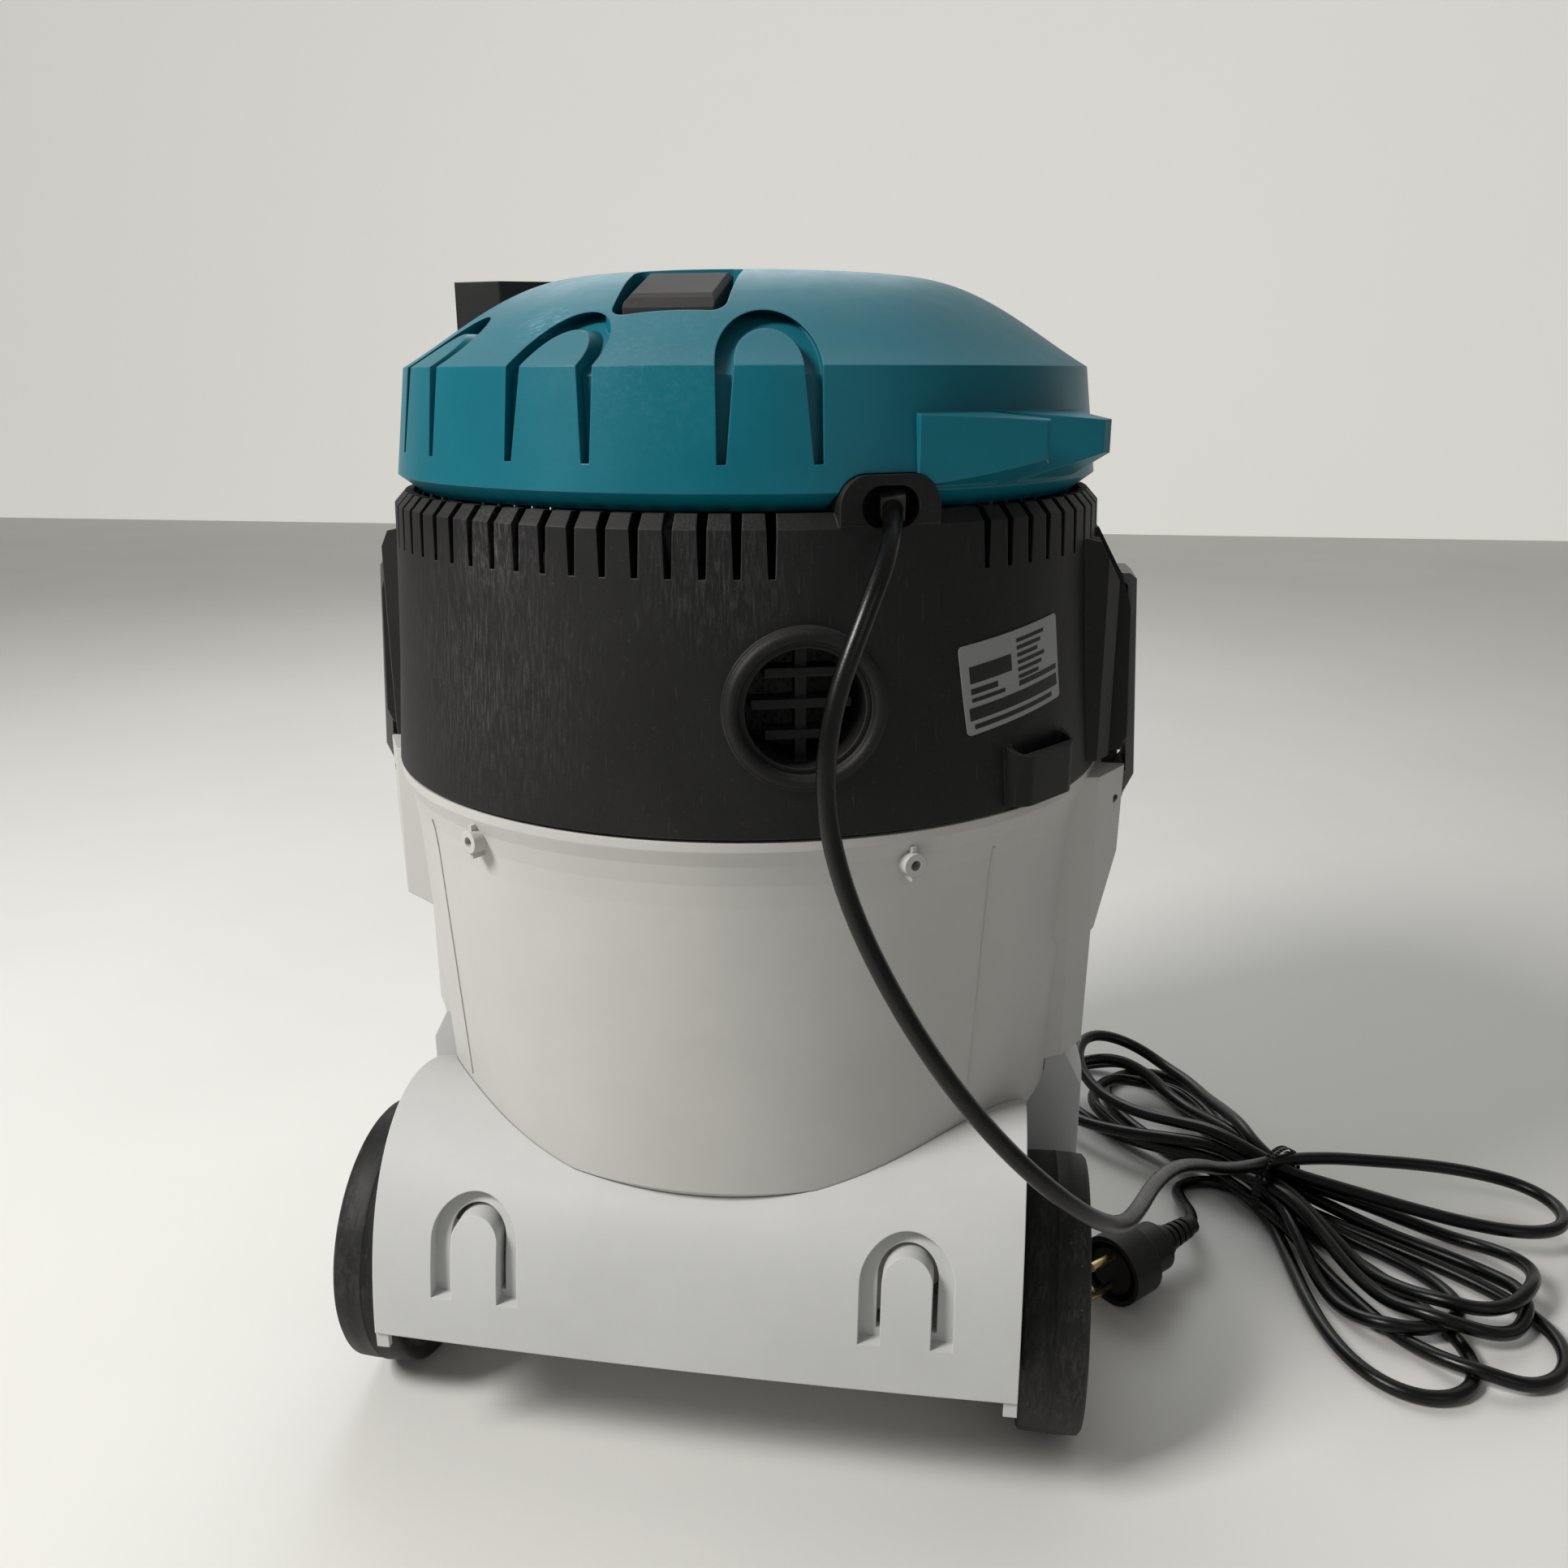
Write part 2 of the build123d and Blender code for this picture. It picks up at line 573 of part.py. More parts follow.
def cable_hook():
    """Two arms on the right shoulder that the coiled cord hangs on."""
    plate = slab_z([(-90, 133), (-92, 138), (-140, 120), (-141, 113), (-112, 112)], 440, 480)
    back = Spline((-166, 86), (-158, 74), (-149, 58))
    hollow = ThreePointArc((-122, 104), (-140, 100), (-163, 92))
    ends = Polyline((-163, 92), (-166, 86)) + Polyline((-149, 58), (-140, 60), (-122, 104))
    horn = Pos(0, 0, 440) * extrude(make_face(hollow + ends + back), 40)
    limits = turned([(140, 446), (163, 449), (192, 463), (192, 473), (163, 477), (140, 477)])
    return (plate + horn) & limits


def button_recess(grow=0.0):
    """Recess that the cleaning button sits in, as a solid, with round upright corners."""
    well = block(BUTTON_X - 23 - grow, BUTTON_X + 23 + grow, BUTTON_Y - 23 - grow,
                 BUTTON_Y + 23 + grow, BUTTON_FLOOR_Z - grow, 545)
    return fillet(well.edges().filter_by(Axis.Z), 6 + grow)


def handle_pocket(grow=0.0):
    """Finger recess in the crown, as a solid."""
    return block(-58 - grow, 58 + grow, -72 - grow, -4 + grow, 500 - grow, 540)


def cover_lug(angle, outer):
    """Lug at the foot of the cover wall that takes one screw."""
    lug = block(-POST_R, POST_R, FIX_R - POST_R, 160, COVER_FOOT_Z, COVER_FOOT_Z + LUG_T)
    hole = Pos(0, FIX_R, 0) * disc(SHANK_R, COVER_FOOT_Z - 1, COVER_FOOT_Z + LUG_T + 1)
    return placed(angle, lug - hole) & outer


def top_cover():
    """Teal dome with grooves, button recess, finger recess, cord arch and cable hook."""
    outer = cover_form()
    body = outer - cover_form(COVER_WALL, COVER_FOOT_Z - 1)
    body += [cover_lug(angle, outer) for angle in FIX_ANGLES]
    backing_skin = cover_form(2.0) - cover_form(GROOVE_DEPTH + COVER_WALL)
    groove_skin = outer - cover_form(GROOVE_DEPTH)
    backing = groove_prism(GROOVE_HALF_W + 3, 518, 456) & backing_skin
    groove = groove_cutter() & groove_skin
    body += [placed(angle, backing) for angle in GROOVE_ANGLES]
    body -= [placed(angle, groove) for angle in GROOVE_ANGLES]
    body += cable_hook() - cover_form(COVER_WALL - 1)
    body += (handle_pocket(3) & outer) - handle_pocket()
    body -= handle_pocket()
    body += (button_recess(2.5) & outer) - button_recess()
    body -= button_recess()
    body -= Pos(BUTTON_X, BUTTON_Y, BUTTON_FLOOR_Z) * Cylinder(4.3, 20)
    body -= placed(OUTLET_ANGLE, outlet_form(0.4))
    body -= Pos(SOCKET_X, SOCKET_Y, 500) * Cylinder(23.5, 80)
    body -= lid_recess()
    body -= rod_y(10.5, -180, -140, 0, KNOB_Z)
    return body


def carry_handle():
    """Grip bar across the finger recess."""
    bar = block(-58, 58, -50, -26, 518, 533.5)
    long_edges = bar.edges().filter_by(Axis.X)
    return fillet(long_edges, 5)


# ---------------------------------------------------------------- filter-cleaning button
def clean_button():
    """Push pad with a sloping top that follows the shoulder."""
    side = [(84, BUTTON_FOOT_Z), (124, BUTTON_FOOT_Z), (124, 516.5), (118.5, 521.5), (84, 532)]
    face = Plane.YZ * make_face(Polyline(*side, close=True))
    pad = Pos(BUTTON_X - 18.2, 0, 0) * extrude(face, 36.4)
    top_edges = pad.faces().sort_by(Axis.Z)[-1].edges()
    return chamfer(top_edges, 2)


def clean_plunger():
    """Rod under the pad that works the filter's back-flush flap."""
    return Pos(BUTTON_X, BUTTON_Y, BUTTON_FOOT_Z - 16.5) * Cylinder(4, 33)


def clean_spring():
    """Return spring round the plunger, between the recess floor and the pad."""
    wire_r = 0.45
    coil = Helix(1.6, 5.6, 6.2)
    wire = sweep(Plane(coil @ 0, z_dir=coil % 0) * Circle(wire_r), path=coil)
    return Pos(BUTTON_X, BUTTON_Y, BUTTON_FLOOR_Z + 0.7) * wire


# ---------------------------------------------------------------- power-tool socket
def console_outline():
    """Plan outline of the socket housing on the left shoulder."""
    return [(141, 11), (116, 16), (76, -2), (76, -76), (112, -80), (136, -54)]


def lid_recess():
    """Space that the flush lid lies in, as a solid."""
    return block(SOCKET_X - 22.4, SOCKET_X + 22.4, LID_HINGE_Y - 3.5, SOCKET_Y + 23.4, 530.2, 540)


def socket_housing():
    """Black block on the shoulder that holds the tool socket under a flush lid."""
    body = slab_z(console_outline(), 480, CONSOLE_TOP_Z)
    body = fillet(body.edges().filter_by(Axis.Z), 3) - cover_form()
    body -= Pos(SOCKET_X, SOCKET_Y, 500) * Cylinder(21.6, 80)
    body -= lid_recess()
    body -= rod_x(1.0, SOCKET_X - 25, SOCKET_X + 25, LID_HINGE_Y, LID_HINGE_Z)
    return body


def socket_insert():
    """Round socket well with two contact holes."""
    cup = Pos(SOCKET_X, SOCKET_Y, 512) * Cylinder(21.4, 34)
    cup -= Pos(SOCKET_X, SOCKET_Y, 522) * Cylinder(19.6, 18)
    for dx in (-9.5, 9.5):
        cup -= Pos(SOCKET_X + dx, SOCKET_Y, 510) * Cylinder(2.5, 12)
    return cup


def socket_lid():
    """Flush flap over the socket with its hinge barrel."""
    plate = block(SOCKET_X - 22, SOCKET_X + 22, LID_HINGE_Y + 1, SOCKET_Y + 23, 531, 533.6)
    barrel = rod_x(1.9, SOCKET_X - 22, SOCKET_X + 22, LID_HINGE_Y, LID_HINGE_Z)
    return plate + barrel - rod_x(1 + RUNNING_GAP, 0, 200, LID_HINGE_Y, LID_HINGE_Z)


def lid_pin():
    """Steel pin of the socket lid."""
    return rod_x(1.0, SOCKET_X - 25, SOCKET_X + 25, LID_HINGE_Y, LID_HINGE_Z)


# ---------------------------------------------------------------- switch
def switch_knob():
    """Rotary knob on the front wall with a raised grip and its shaft."""
    knob = rod_y(15, -177.5, -164, 0, KNOB_Z) - rod_y(17, -178, -169, 0, KNOB_Z)
    grip = block(-3.5, 3.5, -177.5, -168, KNOB_Z - 14, KNOB_Z + 14)
    return knob + grip + rod_y(4, -165, -146, 0, KNOB_Z)


def switch_body():
    """Switch block behind the front wall, with the collar the knob turns in."""
    body = block(-22, 22, -148, -116, KNOB_Z - 17, KNOB_Z + 17) + rod_y(9, -160, -147, 0, KNOB_Z)
    return body - rod_y(4 + RUNNING_GAP, -170, -144, 0, KNOB_Z)


def control_board():
    """Auto-start circuit board under the switch, on four posts, with its larger components."""
    board = block(-40, 40, -148, -104, 446, 448)
    posts = [block(x - 2, x + 2, y - 2, y + 2, 448, KNOB_Z - 17)
             for x in (-19, 19) for y in (-145, -119)]
    heat_sink = block(25, 38, -140, -112, 434, 446)
    relay = block(-36, -20, -135, -110, 432, 446)
    capacitor = Pos(0, -124, 438) * Cylinder(8, 16)
    return board + posts + heat_sink + relay + capacitor


# ---------------------------------------------------------------- motor and fan
def fan_casing():
    """Casing round the suction fan, seated on the motor deck."""
    body = ring(80, 24, DECK_Z + DECK_T, DECK_Z + DECK_T + 3) + ring(80, 77, 322, 372)
    body += ring(80, 14, 369, 372)
    return body - placed(PORT_ANGLE, rod_y(16, 60, 100, 0, 350))


def impeller():
    """Two-plate suction fan with nine blades on a boss."""
    plates = ring(72, 20, 328, 330) + ring(72, 5, 352, 354) + ring(11, 5, 330, 362)
    blade = Pos(46, 0, 341) * Rot(0, 0, 24) * Box(44, 2, 22)
    blades = [Rot(0, 0, 40 * step) * blade for step in range(9)]
    return plates + blades


def motor_frame():
    """Motor case with the two bearing seats for the shaft."""
    case = ring(54, 50, 372, 448) + ring(54, 5 + RUNNING_GAP, 372, 376)
    case += ring(12, 5 + RUNNING_GAP, 448, 454)
    spider = [Rot(0, 0, 90 * step) * block(10, 54, -5, 5, 448, 452) for step in range(4)]
    return case + spider - disc(5 + RUNNING_GAP, 360, 470)


def motor_stator():
    """Laminated stator with its windings."""
    return ring(50, 34, 388, 428) + ring(46, 36, 380, 388) + ring(46, 36, 428, 436)


def armature():
    """Shaft with rotor stack, windings and commutator."""
    return disc(5, 326, 474) + disc(33, 389, 427) + disc(24, 382, 434) + disc(13, 434, 445)


def cooling_fan():
    """Small fan on the upper shaft end that cools the motor."""
    blades = [Rot(0, 0, 45 * step) * block(12, 38, -1, 1, 459, 470) for step in range(8)]
    return ring(38, 5, 457, 459.5) + ring(11, 5, 457, 470) + blades


def motor_hood():
    """Sound hood over the motor, with an air slot round its top."""
    foot_z = DECK_Z + DECK_T
    body = turned([(HOOD_FOOT_R, foot_z), (HOOD_FOOT_R, foot_z + HOOD_FOOT_T),
                   (94, foot_z + HOOD_FOOT_T), (94, 468), (70, 488), (0, 488), (0, 485.5),
                   (69, 485.5), (91.5, 467), (91.5, foot_z)])
    slots = [Rot(0, 0, 30 * step) * block(86, 98, -9, 9, 440, 446) for step in range(12)]
    return body - slots - hood_screw_holes() - placed(PORT_ANGLE, rod_y(18, 80, 100, 0, 350))


def silencer_foam():
    """Foam ring round the motor hood."""
    return ring(126, 94.4, DECK_Z + DECK_T + HOOD_FOOT_T + 0.2, 400)


def cable_clamp():
    """Pale clamp that holds the cord inside the outlet."""
    body = block(-9, 9, 118, 137, OUTLET_Z - 7, OUTLET_Z + 7)
    return placed(OUTLET_ANGLE, body - rod_y(CORD_R, 110, 145, 0, OUTLET_Z))


def cable_gland():
    """Rubber strain relief: flange behind the outlet and a square sleeve that aims the cord."""
    flange = placed(OUTLET_ANGLE, block(-17, 17, 138, 151.8, 430, 454))
    across = (EXIT_WAY[1], -EXIT_WAY[0], 0)
    mouth = Plane(origin=EXIT_AT, x_dir=across, z_dir=EXIT_WAY)
    sleeve = mouth * Pos(0, 0, -8.5) * Box(9.6, 9.6, 17)
    bore = mouth * Pos(0, 0, -8) * Cylinder(CORD_R, 24)
    return flange + sleeve - bore


def pan_screw(seat_z, length):
    """Upright pan-head screw with a cross slot, its head seated at a height."""
    head = disc(3.5, seat_z, seat_z + 2.6)
    for turn in (0, 90):
        head -= Rot(0, 0, turn) * block(-2.2, 2.2, -0.5, 0.5, seat_z + 1.4, seat_z + 3)
    return head + disc(SHANK_R, seat_z - length, seat_z)


def cover_screws():
    """Seven screws that hold the cover's lugs on the housing posts."""
    screw = Pos(0, FIX_R, 0) * pan_screw(COVER_FOOT_Z + LUG_T, 16)
    return [placed(angle, screw) for angle in FIX_ANGLES]


def hood_screws():
    """Six screws that hold the hood's flange down on the deck."""
    screw = Pos(0, HOOD_SCREW_R, 0) * pan_screw(DECK_Z + DECK_T + HOOD_FOOT_T, 6)
    return [placed(angle, screw) for angle in HOOD_ANGLES]


# ---------------------------------------------------------------- filter
def filter_cage():
    """Cage below the motor deck that guides the float and carries the filter."""
    body = ring(60, 45, 311, DECK_Z) + ring(60, 57, 205, 215) + disc(57, 205, 208)
    ribs = [Rot(0, 0, 45 * step) * block(57, 60, -4, 4, 208, 312) for step in range(8)]
    stud = disc(4, 190, 206)
    return body + ribs + stud


def filter_cartridge():
    """Pleated filter between two end rings."""
    count = 36
    pleats = []
    for step in range(count):
        for radius, turn in ((92, 0.0), (66, 0.5)):
            angle = 2 * pi * (step + turn) / count
            pleats.append((radius * cos(angle), radius * sin(angle)))
    outer = slab_z(pleats, 214, 306)
    inner = slab_z([(x * (1 - 3 / hypot(x, y)), y * (1 - 3 / hypot(x, y))) for x, y in pleats],
                   213, 307)
    caps = ring(95, 60.3, 306, 316.6) + ring(95, 60.3, 205, 214)
    return (outer - inner) + caps


def filter_retainer():
    """Dished plate and nut that clamp the filter from below."""
    plate = ring(95, 4, 200, 204.7) + ring(14, 4, 191, 200)
    wings = [Rot(0, 0, 180 * step) * block(10, 26, -3, 3, 188, 200) for step in range(2)]
    return plate + wings - disc(4, 180, 210)


def float_ball():
    """Hollow ball that rises on water and shuts the suction."""
    return Pos(0, 0, 235) * Sphere(26)


# ---------------------------------------------------------------- mains cord
def cord_route():
    """Route of the loose stretch, from the gland down the back and round to the hank."""
    start = Vector(*EXIT_AT)
    first = start + Vector(*EXIT_WAY).normalized() * 24
    return [
        start, first,
        (-77, 187, 408), (-66, 197, 375), (-64, 200, 340), (-73, 202, 305),
        (-90, 204, 270), (-111, 205, 237), (-134, 203, 208), (-156, 196, 184),
        (-175, 181, 163), (-188, 157, 147), (-198, 122, 133), (-209, 80, 119),
        (-224, 36, 102), (-244, -6, 78), (-268, -42, 50), (-291, -66, 22),
    ]


def bend_radii(route):
    """Largest even bend at each inner point of a route."""
    points = [Vector(*point) for point in route]
    radii = []
    for before, here, after in zip(points, points[1:], points[2:]):
        turn = (here - before).get_angle(after - here)
        shorter = min((here - before).length, (after - here).length)
        radii.append(0.45 * shorter / tan(radians(turn) / 2))
    return radii


def cord_tube():
    """Loose stretch of the mains cord."""
    route = cord_route()
    radii = bend_radii(route)
    print("bend radii:", [round(radius) for radius in radii])
    path = FilletPolyline(*route, radius=radii)
    tube_body = sweep(Plane(path @ 0, z_dir=path % 0) * Circle(CORD_R), path=path)
    drawn = pi * CORD_R ** 2 * path.length
    print("cord tube length", round(path.length), "volume ratio", round(tube_body.volume / drawn, 3))
    return tube_body


def cord_hank():
    """Outer shape of the tied hank that lies on the floor."""
    outline = [(-282, -74), (-252, -106), (-196, -170), (-172, -222), (-192, -250), (-232, -246),
               (-286, -184), (-318, -116), (-392, -116), (-456, -104), (-468, -74), (-440, 30),
               (-404, 68), (-360, 60), (-322, -6)]
    return slab_z(outline, 1.6, HANK_TOP)


def cord_tie():
    """Thin tie round the neck of the hank."""
    band = Box(2.5, 62, HANK_TOP + 1.5) - Box(4, 59, HANK_TOP - 1.3)
    return Pos(TIE_AT[0], TIE_AT[1], HANK_TOP / 2 + 0.75) * Rot(0, 0, TIE_TURN) * band


def plug_frame():
    """Plane on the plug's face, its normal along the pins."""
    return Plane(origin=PLUG_AT, z_dir=PLUG_WAY)


def plug_body():
    """Round mains plug with grip and ribbed strain relief."""
    face = Pos(0, 0, -10) * Cylinder(19.6, 20) - Pos(0, 0, -4) * Cylinder(17, 8)
    nose = Pos(0, 0, -6) * Cylinder(13, 10)
    grip = Pos(0, 0, -28) * Cylinder(14, 20) + Pos(0, 0, -41) * Cylinder(9, 10)
    relief = Pos(0, 0, -58) * Cylinder(5.2, 28)
    ribs = [Pos(0, 0, -50 - 5 * step) * Cylinder(7.4 - 0.4 * step, 2.6) for step in range(4)]
    return plug_frame() * (face + nose + grip + relief + ribs)


def plug_pins():
    """Two round contact pins."""
    return [plug_frame() * Pos(0, offset, 7.5) * Cylinder(2.4, 17) for offset in (-9.5, 9.5)]


def cord_tail():
    """Short stretch between the plug and the hank."""
    start = (plug_frame() * Pos(0, 0, -72)).position
    bend = (plug_frame() * Pos(0, 0, -90)).position
    route = [start, bend, Vector(-279, -84, 12)]
    path = FilletPolyline(*route, radius=bend_radii(route))
    return sweep(Plane(path @ 0, z_dir=path % 0) * Circle(CORD_R), path=path)


# ---------------------------------------------------------------- export
def all_parts():
    """Every piece by node name."""
    parts = {
        "container": container(), "rim_seal": rim_seal(), "inlet_spigot": inlet_spigot(),
        "inlet_deflector": inlet_deflector(), "chassis": chassis(),
        "chassis_screws": chassis_screws(), "wheel_axles": wheel_axles(),
        "latch_pins": latch_pins(), "motor_housing": motor_housing(),
        "exhaust_grille": exhaust_grille(), "rating_plate": rating_plate(),
        "top_cover": top_cover(), "carry_handle": carry_handle(),
        "clean_button": clean_button(), "clean_plunger": clean_plunger(),
        "clean_spring": clean_spring(), "socket_housing": socket_housing(),
        "socket_insert": socket_insert(), "socket_lid": socket_lid(), "lid_pin": lid_pin(),
        "switch_knob": switch_knob(), "switch_body": switch_body(),
        "control_board": control_board(), "fan_casing": fan_casing(), "impeller": impeller(),
        "motor_frame": motor_frame(), "motor_stator": motor_stator(), "armature": armature(),
        "cooling_fan": cooling_fan(), "motor_hood": motor_hood(),
        "silencer_foam": silencer_foam(), "cable_clamp": cable_clamp(),
        "cable_gland": cable_gland(), "cover_screws": cover_screws(),
        "hood_screws": hood_screws(), "filter_cage": filter_cage(),
        "filter_cartridge": filter_cartridge(), "filter_retainer": filter_retainer(),
        "float_ball": float_ball(), "cord_tube": cord_tube(), "cord_hank": cord_hank(),
        "cord_tie": cord_tie(), "cord_tail": cord_tail(), "plug_body": plug_body(),
        "plug_pins": plug_pins(),
    }
    for name, side in BOTH_SIDES:
        parts["tyre_" + name] = tyre(side)
        parts["hub_" + name] = hub(side)
        parts["wheel_cap_" + name] = wheel_cap(side)
        parts["caster_fork_" + name] = caster_fork(side)
        parts["caster_wheel_" + name] = caster_wheel(side)
        parts["caster_axle_" + name] = caster_axle(side)
        parts["latch_lever_" + name] = latch_lever(side)
    return parts


os.makedirs("parts", exist_ok=True)
for node, shape in all_parts().items():
    solid = Compound(children=list(shape)) if isinstance(shape, list) else shape
    export_step(solid, "parts/" + node + ".step")
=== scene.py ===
"""Looks of a wet-and-dry shop vacuum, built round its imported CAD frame.

Every sub-assembly is a class that makes the pieces the frame has no detail for and dresses the
frame's own nodes in their finishes.  Metres, +Z up, +Y is the back of the machine, +X its left.
"""

import logging
import math
from dataclasses import dataclass
from enum import Enum

import bmesh
import bpy
import numpy as np
from mathutils import Matrix, Vector


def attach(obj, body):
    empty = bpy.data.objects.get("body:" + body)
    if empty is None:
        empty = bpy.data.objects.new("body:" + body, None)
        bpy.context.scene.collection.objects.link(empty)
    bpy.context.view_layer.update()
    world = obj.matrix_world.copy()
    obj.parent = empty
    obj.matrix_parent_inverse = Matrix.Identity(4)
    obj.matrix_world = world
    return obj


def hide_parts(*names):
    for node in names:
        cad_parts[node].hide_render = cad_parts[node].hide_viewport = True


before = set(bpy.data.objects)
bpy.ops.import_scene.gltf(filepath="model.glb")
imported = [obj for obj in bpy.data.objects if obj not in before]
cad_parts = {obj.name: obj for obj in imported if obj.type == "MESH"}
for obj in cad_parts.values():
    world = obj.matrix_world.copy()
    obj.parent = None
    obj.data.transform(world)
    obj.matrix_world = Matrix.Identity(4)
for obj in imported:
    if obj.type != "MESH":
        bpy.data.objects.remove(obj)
bpy.context.view_layer.update()

log = logging.getLogger("shop_vacuum")

MM = 0.001
Colour = tuple[float, float, float]
Point = tuple[float, float, float]


class Side(Enum):
    """The machine's two sides; the value is the sign of X."""

    LEFT = 1
    RIGHT = -1

    @property
    def label(self) -> str:
        """The ending that the frame's node names use."""
        return self.name.lower()


class Sheen(Enum):
    """How shiny a finish is, as a roughness."""

    GLOSSY = 0.22
    SATIN = 0.38
    SOFT = 0.52
    MATTE = 0.68
    DRY = 0.88


# ------------------------------------------------------------------ node graphs
class Graph:
    """Node tree of one material, with a short call for each kind of node the finishes use."""

    def __init__(self, name: str) -> None:
        """Start a material with a Principled shader and the piece's own coordinates.

        Args:
            name: The material's name.
        """
        self.material = bpy.data.materials.new(name)
        self.material.use_nodes = True
        self.tree = self.material.node_tree
        self.tree.nodes.clear()
        self.output = self.node("ShaderNodeOutputMaterial")
        self.shader = self.node("ShaderNodeBsdfPrincipled")
        self.tree.links.new(self.shader.outputs["BSDF"], self.output.inputs["Surface"])
        self.place = self.node("ShaderNodeTexCoord").outputs["Object"]
        self.geometry = self.node("ShaderNodeNewGeometry")

    def node(self, kind: str) -> bpy.types.Node:
        """Add a node of one kind."""
        return self.tree.nodes.new(kind)

    def feed(self, socket: bpy.types.NodeSocket, value: object) -> None:
        """Link a socket to an output, or set its constant.

        Args:
            socket: The input to fill.
            value: An output socket, a number, or a colour or vector of three.
        """
        if isinstance(value, bpy.types.NodeSocket):
            self.tree.links.new(value, socket)
        elif isinstance(value, tuple) and socket.type == "RGBA":
            socket.default_value = (*value, 1.0)
        else:
            socket.default_value = value

    def mapped(self, stretch: Point, turn: Point = (0.0, 0.0, 0.0)) -> bpy.types.NodeSocket:
        """Coordinates scaled, and turned if asked.

        Args:
            stretch: The scale along X, Y and Z.
            turn: Turns about X, Y and Z in radians.

        Returns:
            The new coordinates.
        """
        mapping = self.node("ShaderNodeMapping")
        self.feed(mapping.inputs["Vector"], self.place)
        self.feed(mapping.inputs["Rotation"], turn)
        self.feed(mapping.inputs["Scale"], stretch)
        return mapping.outputs["Vector"]

    def noise(self, size: float, detail: float = 3.0, rough: float = 0.55,
              stretch: Point = (1.0, 1.0, 1.0)) -> bpy.types.NodeSocket:
        """Noise whose features are about one size across.

        Args:
            size: Feature size in metres.
            detail: Number of finer octaves.
            rough: How strong the finer octaves are.
            stretch: Scale of the coordinates, to draw the noise out into streaks.

        Returns:
            The noise value, about 0 to 1.
        """
        texture = self.node("ShaderNodeTexNoise")
        self.feed(texture.inputs["Vector"], self.mapped(stretch))
        self.feed(texture.inputs["Scale"], 1.0 / size)
        self.feed(texture.inputs["Detail"], detail)
        self.feed(texture.inputs["Roughness"], rough)
        return texture.outputs["Fac"]

    def cells(self, size: float) -> bpy.types.NodeSocket:
        """Distance to the nearest of scattered points, for cells and grains.

        Args:
            size: Cell size in metres.

        Returns:
            The distance, about 0 to 1.
        """
        texture = self.node("ShaderNodeTexVoronoi")
        self.feed(texture.inputs["Vector"], self.place)
        self.feed(texture.inputs["Scale"], 1.0 / size)
        return texture.outputs["Distance"]

    def ramp(self, value: object, low: float, high: float, start: float = 0.0,
             end: float = 1.0) -> bpy.types.NodeSocket:
        """Value spread from one range onto another, clamped.

        Args:
            value: The value to spread.
            low: Input that gives start.
            high: Input that gives end.
            start: Output at low.
            end: Output at high.

        Returns:
            The spread value.
        """
        spread = self.node("ShaderNodeMapRange")
        self.feed(spread.inputs["Value"], value)
        self.feed(spread.inputs["From Min"], low)
        self.feed(spread.inputs["From Max"], high)
        self.feed(spread.inputs["To Min"], start)
        self.feed(spread.inputs["To Max"], end)
        return spread.outputs["Result"]

    def calc(self, operation: str, first: object, second: object = 0.0) -> bpy.types.NodeSocket:
        """One step of arithmetic on two values."""
        step = self.node("ShaderNodeMath")
        step.operation = operation
        self.feed(step.inputs[0], first)
        self.feed(step.inputs[1], second)
        return step.outputs[0]

    def blend(self, share: object, first: object, second: object) -> bpy.types.NodeSocket:
        """Mix of two colours.

        Args:
            share: How much of the second colour, 0 to 1.
            first: Colour at 0.
            second: Colour at 1.

        Returns:
            The mixed colour.
        """
        mix = self.node("ShaderNodeMix")
        mix.data_type = "RGBA"
        self.feed(mix.inputs["Factor"], share)
        self.feed(mix.inputs[6], first)
        self.feed(mix.inputs[7], second)
        return mix.outputs[2]

    def near(self, spot: Point, reach: float) -> bpy.types.NodeSocket:
        """Mask that is 1 at a spot and falls to 0 at its reach."""
        distance = self.node("ShaderNodeVectorMath")
        distance.operation = "DISTANCE"
        self.feed(distance.inputs[0], self.place)
        self.feed(distance.inputs[1], spot)
        return self.ramp(distance.outputs["Value"], 0.0, reach, 1.0, 0.0)

    def facing_up(self, low: float, high: float) -> bpy.types.NodeSocket:
        """Mask of the surfaces whose normal points upwards by more than low."""
        parts = self.node("ShaderNodeSeparateXYZ")
        self.feed(parts.inputs[0], self.geometry.outputs["Normal"])
        return self.ramp(parts.outputs["Z"], low, high)

    def rounded(self, radius: float) -> bpy.types.NodeSocket:
        """Normal that is rounded over near edges."""
        edge = self.node("ShaderNodeBevel")
        edge.samples = 6
        self.feed(edge.inputs["Radius"], radius)
        return edge.outputs["Normal"]

    def edges(self, normal: bpy.types.NodeSocket) -> bpy.types.NodeSocket:
        """Mask of the edges, where the rounded normal leaves the true one."""
        dot = self.node("ShaderNodeVectorMath")
        dot.operation = "DOT_PRODUCT"
        self.feed(dot.inputs[0], normal)
        self.feed(dot.inputs[1], self.geometry.outputs["Normal"])
        return self.ramp(dot.outputs["Value"], 0.99, 0.9)

    def bump(self, height: object, depth: float, normal: object = None) -> bpy.types.NodeSocket:
        """Normal roughened by a height.

        Args:
            height: The height, about 0 to 1.
            depth: Depth in metres of a height of 1.
            normal: The normal to start from, or None for the surface's own.

        Returns:
            The new normal.
        """
        relief = self.node("ShaderNodeBump")
        self.feed(relief.inputs["Strength"], 1.0)
        self.feed(relief.inputs["Distance"], depth)
        self.feed(relief.inputs["Height"], height)
        if normal is not None:
            self.feed(relief.inputs["Normal"], normal)
        return relief.outputs["Normal"]

